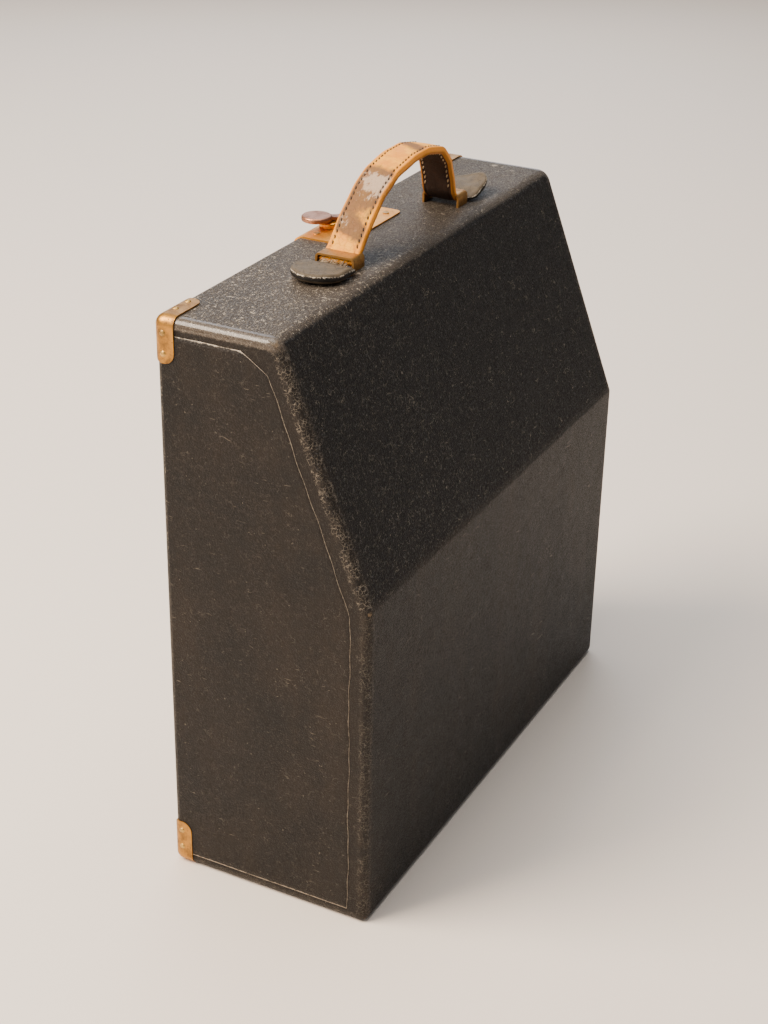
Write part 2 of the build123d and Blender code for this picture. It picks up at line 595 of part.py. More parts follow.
def drum_shell():
    """Thin brass can with a bottom lip for the chart, a top cap and a bearing tube."""
    can = upright(0, 0, DRUM_Z, DRUM_TOP, DRUM_RADIUS)
    can -= upright(0, 0, DRUM_Z + DRUM_LIP, DRUM_TOP - 1.5, DRUM_RADIUS - DRUM_WALL)
    can += upright(0, 0, DRUM_Z, DRUM_Z + DRUM_LIP, DRUM_RADIUS + DRUM_LIP)
    raised = upright(0, 0, DRUM_TOP, DRUM_TOP + 0.8, DRUM_RADIUS - 6)
    can += raised - upright(0, 0, DRUM_TOP - 5, DRUM_TOP + 5, DRUM_RADIUS - 9)
    can += upright(0, 0, DRUM_Z, DRUM_TOP + 0.8, TUBE_RADIUS)
    can += upright(BARREL_X - DRUM_X, 0, DRUM_TOP - 1.5, DRUM_TOP + 0.8, 5.0)
    can -= upright(0, 0, 0, 300, SPINDLE_RADIUS + RUNNING_GAP)
    can -= upright(PINION_X - DRUM_X, PINION_Y - DRUM_Y, 0, DRUM_Z + 5, 1.0 + RUNNING_GAP)
    can -= upright(BARREL_X - DRUM_X, 0, DRUM_TOP - 5, DRUM_TOP + 5, KEY_HOLE)
    return Pos(DRUM_X, DRUM_Y, 0) * only(can)


def chart_paper():
    outer = upright(0, 0, CHART_Z, CHART_Z + CHART_HEIGHT, DRUM_RADIUS + CHART_THICK)
    return Pos(DRUM_X, DRUM_Y, 0) * only(outer - Cylinder(DRUM_RADIUS, 400))


CLIP_ANGLE = 205.0
CLIP_HALF, CLIP_SHEET = 2.2, 0.35


def chart_clip():
    """Sprung brass strip that holds the chart's ends against the drum and hooks over its top edge."""
    near = DRUM_RADIUS + CHART_THICK + 0.03
    bar = block(near, near + CLIP_SHEET, -CLIP_HALF, CLIP_HALF, DRUM_Z + DRUM_LIP + 0.05, DRUM_TOP + 0.6)
    hook = block(near - 4.5, near + CLIP_SHEET, -CLIP_HALF, CLIP_HALF, DRUM_TOP + 0.1, DRUM_TOP + 0.6)
    knob = upright(near - 3.0, 0, DRUM_TOP + 0.1, DRUM_TOP + 2.2, 1.6)
    return Pos(DRUM_X, DRUM_Y, 0) * Rot(0, 0, CLIP_ANGLE) * only(bar + hook + knob)


def knurled(radius, z0, z1, notches, depth):
    """An upright milled head: a cylinder with a ring of notches."""
    head = upright(0, 0, z0, z1, radius)
    head = chamfer(head.edges().group_by(Axis.Z)[-1] + head.edges().group_by(Axis.Z)[0], 0.6)
    for k in range(notches):
        notch = Pos(radius, 0, (z0 + z1) / 2) * Rot(0, 0, 45) * Box(depth, depth, z1 - z0 + 1)
        head -= Rot(0, 0, 360 * k / notches) * notch
    return head


def drum_nut():
    nut = knurled(7.0, DRUM_TOP + 1.1, DRUM_TOP + 6.6, 30, 0.7)
    nut += upright(0, 0, DRUM_TOP + 6.6, DRUM_TOP + 8.0, 4.0)
    return Pos(DRUM_X, DRUM_Y, 0) * only(nut - upright(0, 0, 0, 300, SPINDLE_RADIUS + RUNNING_GAP))


CLOCK_RADIUS = 36.0
CLOCK_SHEET = 1.5
PILLAR_OUT, PILLAR_RADIUS = 33.0, 2.0
ARBOR_RADIUS = 2.0  # the barrel's arbor
STAFF_RADIUS = 0.6  # the balance's staff
PINION_ARBOR = 1.0


def clock_plates():
    """The movement's two plates on pillars, with the cock over the balance."""
    offset = BARREL_X - DRUM_X
    plates = upright(0, 0, CLOCK_LOW, CLOCK_LOW + CLOCK_SHEET, CLOCK_RADIUS)
    plates += upright(0, 0, CLOCK_HIGH, CLOCK_HIGH + CLOCK_SHEET, CLOCK_RADIUS)
    for angle in (90, 210, 330):
        pillar = upright(PILLAR_OUT, 0, DRUM_Z + DRUM_LIP, CLOCK_HIGH + CLOCK_SHEET, PILLAR_RADIUS)
        plates += Rot(0, 0, angle) * pillar
    plates += upright(26, 12, CLOCK_HIGH, CLOCK_HIGH + 11, 2.0)
    plates += Pos(23, 6, CLOCK_HIGH + 10.2) * Rot(0, 0, 63) * Box(20, 5, 1.6)
    plates -= upright(0, 0, 0, 300, TUBE_RADIUS + 0.3)
    plates -= upright(PINION_X - DRUM_X, PINION_Y - DRUM_Y, 0, CLOCK_LOW + 10, PINION_ARBOR + RUNNING_GAP)
    plates -= upright(offset, 0, 0, 300, ARBOR_RADIUS + RUNNING_GAP)
    plates -= upright(BALANCE_X - DRUM_X, 0, 0, 300, STAFF_RADIUS + RUNNING_GAP)
    return Pos(DRUM_X, DRUM_Y, 0) * only(plates)


def mainspring_barrel():
    drum = upright(0, 0, CLOCK_LOW + 2.0, CLOCK_LOW + 20, 11.5)
    drum += upright(0, 0, CLOCK_LOW + 4.0, CLOCK_LOW + 6.0, 13.2)
    drum -= upright(0, 0, 0, 300, ARBOR_RADIUS + RUNNING_GAP)
    return Pos(BARREL_X, BARREL_Y, 0) * only(drum)


SQUARE = 2.9
KEY_ANGLE = 25.0


def winding_arbor():
    shaft = upright(0, 0, CLOCK_LOW, DRUM_TOP + 1.5, ARBOR_RADIUS)
    square = block(-SQUARE / 2, SQUARE / 2, -SQUARE / 2, SQUARE / 2, DRUM_TOP + 1.5, DRUM_TOP + 8)
    return Pos(BARREL_X, BARREL_Y, 0) * Rot(0, 0, KEY_ANGLE) * only(shaft + square)


def winding_key():
    """Clock key on the arbor's square: a pipe with a flat bow."""
    pipe = upright(0, 0, DRUM_TOP + 2.0, DRUM_TOP + 14, 3.2)
    pipe -= block(-1.5, 1.5, -1.5, 1.5, DRUM_TOP, DRUM_TOP + 8.2)
    flat = extrude(SlotCenterToCenter(14, 11), amount=0.9, both=True)
    bow = Pos(0, 0, DRUM_TOP + 19) * Rot(90, 0, 0) * flat
    for side in (-1, 1):
        bow -= Pos(side * 6.5, 0, DRUM_TOP + 19) * Rot(90, 0, 0) * Cylinder(3.0, 4)
    return Pos(BARREL_X, BARREL_Y, 0) * Rot(0, 0, KEY_ANGLE) * only(pipe + bow)


BALANCE_RADIUS, BALANCE_RIM = 8.5, 1.3


def balance_wheel():
    z = CLOCK_HIGH + 4.0
    wheel = upright(0, 0, z, z + 1.2, BALANCE_RADIUS)
    wheel -= upright(0, 0, z - 1, z + 3, BALANCE_RADIUS - BALANCE_RIM)
    wheel += Pos(0, 0, z + 0.6) * Box(2 * BALANCE_RADIUS - BALANCE_RIM, 1.6, 0.8)
    wheel += upright(0, 0, CLOCK_HIGH - 2, CLOCK_HIGH + 10.5, STAFF_RADIUS)
    wheel += upright(0, 0, z - 1, z + 2, 1.5)
    return Pos(BALANCE_X, BALANCE_Y, 0) * only(wheel)


# ---- instrument: pressure side ------------------------------------------------------------------
CAPSULE_HUB = 1.3  # height of the hub each side of a capsule
CORRUGATIONS = (23.0, 15.0)  # radii of the pressed grooves


def capsule(index):
    """One vacuum capsule: two corrugated discs soldered at a rounded rim, with a hub each side."""
    z = STACK_Z + index * CAPSULE_PITCH
    low, high = CAPSULE_HUB, CAPSULE_PITCH - CAPSULE_HUB
    body = upright(0, 0, z + low, z + high, STACK_RADIUS)
    rim = body.edges().filter_by(GeomType.CIRCLE)
    body = fillet(rim, 2.0)
    for radius in CORRUGATIONS:
        for level in (z + low, z + high):
            body -= Pos(0, 0, level) * Torus(radius, 0.9)
    top = index == CAPSULES - 1
    body += upright(0, 0, z, z + CAPSULE_PITCH + (5.0 if top else 0.0), 4.0 if top else 5.0)
    if top:
        body += upright(0, 0, z, z + low, 5.0)
        body -= upright(0, 0, z + CAPSULE_PITCH - 3.5, z + 40, 1.5 + RUNNING_GAP)
    return Pos(STACK_X, STACK_Y, 0) * only(body)


def setting_screw():
    """Milled wheel and post under the stack: it raises or lowers the capsules to set the pen."""
    post = upright(0, 0, BED_TOP, STACK_Z, 5.0)
    wheel = knurled(13.0, BED_TOP + 2.5, BED_TOP + 7.5, 48, 0.9)
    return Pos(STACK_X, STACK_Y, 0) * only(post + wheel)


NOSE_RADIUS = 2.0


def capsule_stud():
    """Rod that stands on the top capsule and carries the rocker's nose, with its lock nut."""
    top = ROCKER_Z - NOSE_RADIUS - 0.05
    rod = upright(0, 0, STACK_TOP + 0.5, top, 1.5)
    nut = Pos(0, 0, STACK_TOP + 7.4) * extrude(RegularPolygon(3.6, 6), amount=1.8)
    cap = upright(0, 0, top - 1.2, top, 2.0)
    return Pos(STACK_X, STACK_Y, 0) * only(rod + nut + cap)


FRAME_BACK, FRAME_FRONT = -22.0, 19.0
FORK = 3.0


def movement_frame():
    """Cast brass post beside the stack, its fork reaching over it to carry the rocker."""
    foot = block(58, 74, FRAME_BACK - 3, FRAME_FRONT + 3, BED_TOP, BED_TOP + 4)
    post = block(62, 70, FRAME_BACK, FRAME_FRONT, BED_TOP, ROCKER_Z + 8)
    window = block(60, 72, FRAME_BACK + 9, FRAME_FRONT - 9, BED_TOP + 16, ROCKER_Z - 22)
    fork = block(62, PEN_PIVOT_X + 6, FRAME_BACK, FRAME_FRONT, ROCKER_Z - 7, ROCKER_Z + 8)
    gap = block(70, 120, FRAME_BACK + FORK, FRAME_FRONT - FORK, ROCKER_Z - 20, ROCKER_Z + 20)
    window = fillet(window.edges().filter_by(Axis.X), 5)
    tips = fork.edges().filter_by(Axis.Y).sort_by(Axis.X)[-2:]
    frame = foot + post + fillet(tips, 6) - window - gap
    return only(frame - crosswise(PEN_PIVOT_X, -60, 60, ROCKER_Z, 1.5 + RUNNING_GAP))


ARM_Y0, ARM_Y1 = 24.5, 27.0
LINK_Y0, LINK_Y1 = 27.6, 29.6


def lever(x, y0, y1, z, length, width):
    """A flat arm along +X from a pivot, rounded at both ends."""
    slot = SlotCenterToCenter(length, width)
    return Pos(x + length / 2, y1, z) * Rot(90, 0, 0) * extrude(slot, amount=y1 - y0)


def rocker_arbor():
    """Cross shaft with the short arm over the stud and the long arm in front, and the link's pin."""
    shaft = crosswise(PEN_PIVOT_X, FRAME_BACK - 2, ARM_Y1, ROCKER_Z, 1.5)
    short = lever(PEN_PIVOT_X, STACK_Y - 1.5, STACK_Y + 1.5, ROCKER_Z, STUD_ARM, 2.0)
    nose = crosswise(STACK_X, STACK_Y - 1.5, STACK_Y + 1.5, ROCKER_Z, NOSE_RADIUS)
    hub = crosswise(PEN_PIVOT_X, STACK_Y - 4, STACK_Y + 4, ROCKER_Z, 2.6)
    long_arm = lever(PEN_PIVOT_X, ARM_Y0, ARM_Y1, ROCKER_Z, LEVER_ARM, 5.0)
    pin = crosswise(LINK_X, ARM_Y0, LINK_Y1 + 0.9, ROCKER_Z, 1.0)
    head = crosswise(LINK_X, LINK_Y1 + 0.2, LINK_Y1 + 0.9, ROCKER_Z, 1.7)
    return only(shaft + short + nose + hub + long_arm + pin + head)


def link_rod():
    """Rod between the rocker and the pen crank, with an eye at each end and an adjusting nut."""
    y = (LINK_Y0 + LINK_Y1) / 2
    rod = upright(LINK_X, y, PEN_Z, ROCKER_Z, 0.8)
    middle = (PEN_Z + ROCKER_Z) / 2
    solid = rod + upright(LINK_X, y, middle - 3, middle + 3, 1.7)
    for z in (PEN_Z, ROCKER_Z):
        solid += crosswise(LINK_X, LINK_Y0, LINK_Y1, z, 2.6)
    for z in (PEN_Z, ROCKER_Z):
        solid -= crosswise(LINK_X, 0, 60, z, 1.0 + RUNNING_GAP)
    return only(solid)


BRACKET_EARS = ((20.0, 22.5), (31.0, 33.5))


def pen_bracket():
    """Two brass ears on a foot, in front of the stack, that carry the pen's arbor."""
    x0, x1 = PEN_PIVOT_X - 8, PEN_PIVOT_X + 8
    solid = block(x0, x1, BRACKET_EARS[0][0], BRACKET_EARS[1][1], BED_TOP, BED_TOP + 2.5)
    for y0, y1 in BRACKET_EARS:
        ear = block(PEN_PIVOT_X - 4.5, PEN_PIVOT_X + 4.5, y0, y1, BED_TOP, PEN_Z)
        solid += ear + crosswise(PEN_PIVOT_X, y0, y1, PEN_Z, 4.5)
    return only(solid - crosswise(PEN_PIVOT_X, 0, 60, PEN_Z, 1.5 + RUNNING_GAP))


GATE_BACK = 37.0
GATE_HALF = 6.0
GATE_SHEET = 1.6
GATE_PIN = 0.8
KNUCKLE_RADIUS = 1.9


def pen_arbor():
    """Pen shaft with its crank at the link and the gate that the pen arm hangs in."""
    shaft = crosswise(PEN_PIVOT_X, 19.0, GATE_BACK + 0.5, PEN_Z, 1.5)
    crank = lever(PEN_PIVOT_X, ARM_Y0, ARM_Y1, PEN_Z, LEVER_ARM, 5.0)
    pin = crosswise(LINK_X, ARM_Y0, LINK_Y1 + 0.9, PEN_Z, 1.0)
    head = crosswise(LINK_X, LINK_Y1 + 0.2, LINK_Y1 + 0.9, PEN_Z, 1.7)
    x0, x1 = PEN_PIVOT_X - 3, PEN_PIVOT_X + 3
    low, high = PEN_Z - GATE_HALF, PEN_Z + GATE_HALF
    gate = block(x0, x1, GATE_BACK, GATE_BACK + 1.3, low, high)
    for z0, z1 in ((low, low + GATE_SHEET), (high - GATE_SHEET, high)):
        gate += block(x0, x1, GATE_BACK, PEN_Y + 2.2, z0, z1)
    gate += upright(PEN_PIVOT_X, PEN_Y, low, high, GATE_PIN)
    return only(shaft + crank + pin + head + gate)


ARM_END = DRUM_X - 3.0
ARM_SHEET = 0.3  # half the arm's thickness


def pen_arm():
    """Long light arm that tapers to the pen, on a knuckle that turns on the gate's pin."""
    reach = GATE_HALF - GATE_SHEET - 0.2
    knuckle = upright(PEN_PIVOT_X, PEN_Y, PEN_Z - reach, PEN_Z + reach, KNUCKLE_RADIUS)
    root, tip = 3.0, 1.2
    upper = [(PEN_PIVOT_X, root), (PEN_PIVOT_X - 20, root), (ARM_END, tip)]
    lower = [(x, -half) for x, half in reversed(upper)]
    outline = Polygon(*[(x, PEN_Z + half) for x, half in upper + lower], align=None)
    frame = Plane(origin=(0, PEN_Y + ARM_SHEET, 0), x_dir=(1, 0, 0), z_dir=(0, -1, 0))
    strip = extrude(frame * outline, amount=2 * ARM_SHEET)
    solid = knuckle + strip - upright(PEN_PIVOT_X, PEN_Y, 0, 300, GATE_PIN + RUNNING_GAP)
    return only(solid)


PEN_GAP = 0.65  # room for the chart clip to pass under the pen


def pen_nib():
    """Three-sided ink cup whose point faces the chart."""
    tip_y = DRUM_Y + DRUM_RADIUS + CHART_THICK + PEN_GAP
    back_y = PEN_Y - ARM_SHEET
    ends = []
    for y, radius in ((back_y, 2.6), (tip_y, 0.3)):
        plane = Plane(origin=(DRUM_X, y, PEN_Z), x_dir=(1, 0, 0), z_dir=(0, -1, 0))
        ends.append((plane * RegularPolygon(radius, 3, rotation=30)).face())
    return only(loft(ends))


ROD_RADIUS = 1.2


def pen_lifter():
    """Upright rod on a crank: turned by its knob, it pushes the pen arm off the chart."""
    y = PEN_Y - 2.0
    pivot = upright(LIFTER_X, y, BED_TOP - BED_THICK, BED_TOP + 5, 2.0)
    crank = Pos(LIFTER_X - LIFTER_THROW / 2, y, BED_TOP + 3.5) * extrude(
        SlotCenterToCenter(LIFTER_THROW, 5.5), amount=1.2, both=True
    )
    rod = upright(LIFTER_X - LIFTER_THROW, y, BED_TOP + 3, PEN_Z + 40, ROD_RADIUS)
    handle = Pos(LIFTER_X, y + 4, BED_TOP + 3.5) * Box(2.4, 8, 2.0)
    knob = Pos(LIFTER_X, y + 9, BED_TOP + 3.5) * Sphere(2.6)
    return only(pivot + crank + rod + handle + knob)


# ---- stowage ------------------------------------------------------------------------------------
SHELF_BACK, SHELF_LIP = 45.5, 3.0
SHELF_TOP = SHELF_Z + 6.0


def shelf():
    """Board across the case above the instrument, with a low lip at the door side."""
    x = INNER_X - LINING
    board = block(-x, x, -BACK_Y + SHELL + LINING, SHELF_BACK, SHELF_Z, SHELF_TOP)
    return only(board + block(-x, x, SHELF_BACK - SHELF_LIP, SHELF_BACK, SHELF_TOP - 1, SHELF_TOP + 10))


BOX_X = (-148.0, 6.0)
BOX_HALF, BOX_TALL = 40.0, 19.0


def chart_box():
    """Card box for spare charts: a lid over a tray, as one closed piece."""
    z = SHELF_TOP
    x0, x1 = BOX_X
    tray = block(x0 + 1, x1 - 1, 1 - BOX_HALF, BOX_HALF - 1, z, z + BOX_TALL - 1)
    lid = block(x0, x1, -BOX_HALF, BOX_HALF, z + 9, z + BOX_TALL)
    return only(fillet((tray + lid).edges().group_by(Axis.Z)[-1], 1.0))


BOTTLE_X, BOTTLE_Y = 70.0, 0.0


def ink_bottle():
    """Small round ink bottle with a stopper, as one closed piece."""
    z = SHELF_TOP
    profile = [(0, z), (15, z), (16, z + 1.5), (16, z + 26), (13, z + 31), (7, z + 34)]
    profile += [(7, z + 41), (9, z + 42), (9, z + 47), (7.5, z + 50), (0, z + 50)]
    face = make_face(Polyline(*[(r, 0, h) for r, h in profile], close=True))
    return Pos(BOTTLE_X, BOTTLE_Y, 0) * only(revolve(face, Axis.Z))


# ---- assembly -----------------------------------------------------------------------------------
nails_right = group(right_nails())
nails_left = mirror(nails_right, Plane.YZ)
root_shanks = group(root_screws())
door_shanks = group(door_screws())
all_shanks = nails_right + nails_left
staples = [staple(-1), staple(1)]
hardware_holes = group(staples) + root_shanks + all_shanks

wrap, under_floor, left_sheet, right_sheet = coverings()
door_cover, door_board, door_cloth = door_layers()

PARTS = {
    "left_end_panel": end_panel(-1),
    "right_end_panel": end_panel(1),
    "top_panel": ring_panel(1) - hardware_holes - latch_bore,
    "slope_panel": ring_panel(2),
    "front_panel": ring_panel(3),
    "floor_panel": ring_panel(4) - root_shanks,
    "wrap_covering": wrap,
    "floor_covering": under_floor,
    "left_side_covering": left_sheet,
    "right_side_covering": right_sheet,
    "case_lining": lining(),
    "door_stops": door_stops(),
    "top_corners": group([top_corner(-1), top_corner(1)]),
    "bottom_corners": group([bottom_corner(-1), bottom_corner(1)]),
    "corner_nails": group([*nails_right.solids(), *nails_left.solids()]),
    "handle_staples": group(staples),
    "handle_tab_left": handle_tab(-1),
    "handle_strap_left": strap_half(LEFT_LINE),
    "handle_strap_right": strap_half(RIGHT_LINE),
    "handle_tab_right": handle_tab(1),
    "latch_plate": latch_plate(),
    "latch_claw": latch_claw(),
    "thumb_lever": thumb_lever(),
    "door_panel": door_board,
    "door_covering": door_cover,
    "door_lining": door_cloth,
    "door_keeper": door_keeper(),
    "door_hinge_leaves": group([hinge_leaf(x, True) - door_shanks for x in HINGE_X]),
    "case_hinges": case_hinges(),
    "brass_screws": root_shanks,
    "door_screws": door_shanks,
    "shelf": shelf(),
    "chart_box": chart_box(),
    "ink_bottle": ink_bottle(),
    "base_board": base_board(),
    "bedplate": bedplate(),
    "movement_frame": movement_frame(),
    "aneroid_capsules": group([capsule(i) for i in range(CAPSULES)]),
    "setting_screw": setting_screw(),
    "capsule_stud": capsule_stud(),
    "rocker_arbor": rocker_arbor(),
    "link_rod": link_rod(),
    "pen_bracket": pen_bracket(),
    "pen_arbor": pen_arbor(),
    "pen_arm": pen_arm(),
    "pen_nib": pen_nib(),
    "pen_lifter": pen_lifter(),
    "drum_spindle": drum_spindle(),
    "fixed_wheel": fixed_wheel(),
    "drum_shell": drum_shell(),
    "chart_paper": chart_paper(),
    "chart_clip": chart_clip(),
    "drum_nut": drum_nut(),
    "drive_pinion": drive_pinion(),
    "clock_plates": clock_plates(),
    "mainspring_barrel": mainspring_barrel(),
    "winding_arbor": winding_arbor(),
    "winding_key": winding_key(),
    "balance_wheel": balance_wheel(),
}

os.makedirs("parts", exist_ok=True)
for name, shape in PARTS.items():
    export_step(shape, f"parts/{name}.step")
    print(name, len(shape.solids()), round(sum(s.volume for s in shape.solids()), 1))
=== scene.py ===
import json
import math
import bmesh
import bpy
import numpy as np
from mathutils import Matrix, Vector


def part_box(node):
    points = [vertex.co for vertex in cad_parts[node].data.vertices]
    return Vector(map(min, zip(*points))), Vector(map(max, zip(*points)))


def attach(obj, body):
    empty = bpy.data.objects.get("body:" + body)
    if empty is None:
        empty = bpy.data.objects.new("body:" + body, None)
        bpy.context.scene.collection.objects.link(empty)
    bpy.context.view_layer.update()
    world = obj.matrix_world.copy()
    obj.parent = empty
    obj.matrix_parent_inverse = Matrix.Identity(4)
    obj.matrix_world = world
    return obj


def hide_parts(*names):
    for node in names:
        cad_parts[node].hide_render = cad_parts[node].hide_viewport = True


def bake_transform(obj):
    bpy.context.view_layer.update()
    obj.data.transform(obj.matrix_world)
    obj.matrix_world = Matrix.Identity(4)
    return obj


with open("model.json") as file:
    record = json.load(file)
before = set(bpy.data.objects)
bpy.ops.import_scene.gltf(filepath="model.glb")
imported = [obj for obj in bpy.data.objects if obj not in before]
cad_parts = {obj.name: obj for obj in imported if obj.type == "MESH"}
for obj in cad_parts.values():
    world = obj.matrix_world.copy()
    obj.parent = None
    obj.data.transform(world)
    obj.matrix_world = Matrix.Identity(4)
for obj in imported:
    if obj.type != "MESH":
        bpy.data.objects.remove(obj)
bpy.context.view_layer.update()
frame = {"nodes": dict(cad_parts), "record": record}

rng = np.random.default_rng(41)
mm = 0.001
fineWeld = 0.001 * mm  # joins only points that lie on each other
print("frame loaded:", len(frame["nodes"]), "nodes")


def tone(code):  # a colour written as it looks on screen, made linear for the shader
    parts = [int(code[i : i + 2], 16) / 255 for i in (0, 2, 4)]
    return tuple(((c + 0.055) / 1.055) ** 2.4 if c > 0.04 else c / 12.92 for c in parts) + (1.0,)


class Wire:
    # one output socket; a sum written with wires adds the Math nodes for it
    def __init__(self, recipe, socket):
        self.recipe = recipe
        self.socket = socket

    def calc(self, operation, *values):
        return self.recipe.node("ShaderNodeMath", {"operation": operation}, dict(enumerate(values)))

    def __add__(self, other):
        return self.calc("ADD", self, other)

    def __sub__(self, other):
        return self.calc("SUBTRACT", self, other)

    def __rsub__(self, other):
        return self.calc("SUBTRACT", other, self)

    def __mul__(self, other):
        return self.calc("MULTIPLY", self, other)

    def __truediv__(self, other):
        return self.calc("DIVIDE", self, other)

    def __abs__(self):
        return self.calc("ABSOLUTE", self)

    def __mod__(self, other):
        return self.calc("FLOORED_MODULO", self, other)

    __radd__ = __add__
    __rmul__ = __mul__

    def most(self, other):
        return self.calc("MAXIMUM", self, other)

    def step(self, low, high):  # 0 below low, 1 above high, smooth between
        sockets = {"Value": self, "From Min": low, "From Max": high}
        return self.recipe.node("ShaderNodeMapRange", {"interpolation_type": "SMOOTHSTEP"}, sockets)

    def near(self, value, width):  # 1 where the wire is at value, 0 a width away
        return 1 - abs(self - value).step(0.0, width)


class Recipe:
    def __init__(self, name):
        self.material = bpy.data.materials.new(name)
        self.material.use_nodes = True
        self.tree = self.material.node_tree
        self.tree.nodes.clear()
        self.place = self.node("ShaderNodeTexCoord", output="Object")

    def node(self, kind, settings=None, sockets=None, output=0):
        made = self.tree.nodes.new(kind)
        for key, value in (settings or {}).items():
            setattr(made, key, value)
        for key, value in (sockets or {}).items():
            if isinstance(value, Wire):
                self.tree.links.new(value.socket, made.inputs[key])
            else:
                made.inputs[key].default_value = value
        return Wire(self, made.outputs[output])

    def axes(self, vector=None):
        source = vector or self.place
        return [self.node("ShaderNodeSeparateXYZ", sockets={0: source}, output=axis) for axis in "XYZ"]

    def stretch(self, scale, vector=None):
        sockets = {0: vector or self.place, 1: scale}
        return self.node("ShaderNodeVectorMath", {"operation": "MULTIPLY"}, sockets)

    def warp(self, amount, size, vector=None):  # the place shifted by a noise, so patterns look less ruled
        source = vector or self.place
        cloud = self.node("ShaderNodeTexNoise", sockets={"Vector": source, "Scale": 1 / size}, output="Color")
        grey = (0.5, 0.5, 0.5)
        centred = self.node("ShaderNodeVectorMath", {"operation": "SUBTRACT"}, {0: cloud, 1: grey})
        scaled = self.node("ShaderNodeVectorMath", {"operation": "SCALE"}, {0: centred, "Scale": amount})
        return self.node("ShaderNodeVectorMath", {"operation": "ADD"}, {0: source, 1: scaled})

    def noise(self, size, detail=3.0, rough=0.55, vector=None):
        sockets = {"Vector": vector or self.place, "Scale": 1 / size, "Detail": detail, "Roughness": rough}
        return self.node("ShaderNodeTexNoise", sockets=sockets)

    def cells(self, size, feature="F1", vector=None):
        sockets = {"Vector": vector or self.place, "Scale": 1 / size}
        return self.node("ShaderNodeTexVoronoi", {"feature": feature}, sockets, "Distance")

    def attribute(self, name):
        return self.node("ShaderNodeAttribute", {"attribute_name": name}, output="Fac")

    def mix(self, factor, first, second):
        return self.node("ShaderNodeMix", {"data_type": "RGBA"}, {0: factor, 6: first, 7: second}, 2)

    def bump(self, height, distance, strength=1.0, under=None):
        sockets = {"Height": height, "Distance": distance, "Strength": strength}
        if under:
            sockets["Normal"] = under
        return self.node("ShaderNodeBump", sockets=sockets)

    def done(self, **sockets):
        named = {key.replace("_", " "): value for key, value in sockets.items()}
        shader = self.node("ShaderNodeBsdfPrincipled", sockets=named)
        end = self.tree.nodes.new("ShaderNodeOutputMaterial")
        self.tree.links.new(shader.socket, end.inputs["Surface"])
        return self.material


leathercloth = {
    # slope is the near-black used as painted shade on the slope, the front and the ends; shine is a painted
    # sheen for the top edge; the pale grey after them is for painted glints on the grain
    "deep": tone("0c0b0b"), "brown": tone("241d17"), "dusty": tone("5a5147"), "pale": tone("c2b5a2"),
    "board": tone("77654f"), "slope": tone("06080b"), "shine": tone("5e5040"), "glint_grey": tone("8e8e92"),
    "grain": 1.5 * mm, "fineGrain": 0.55 * mm, "grainDepth": 0.22 * mm,
    "topHeight": 0.3285, "slopeFrom": 0.194, "endFrom": 0.158,
}


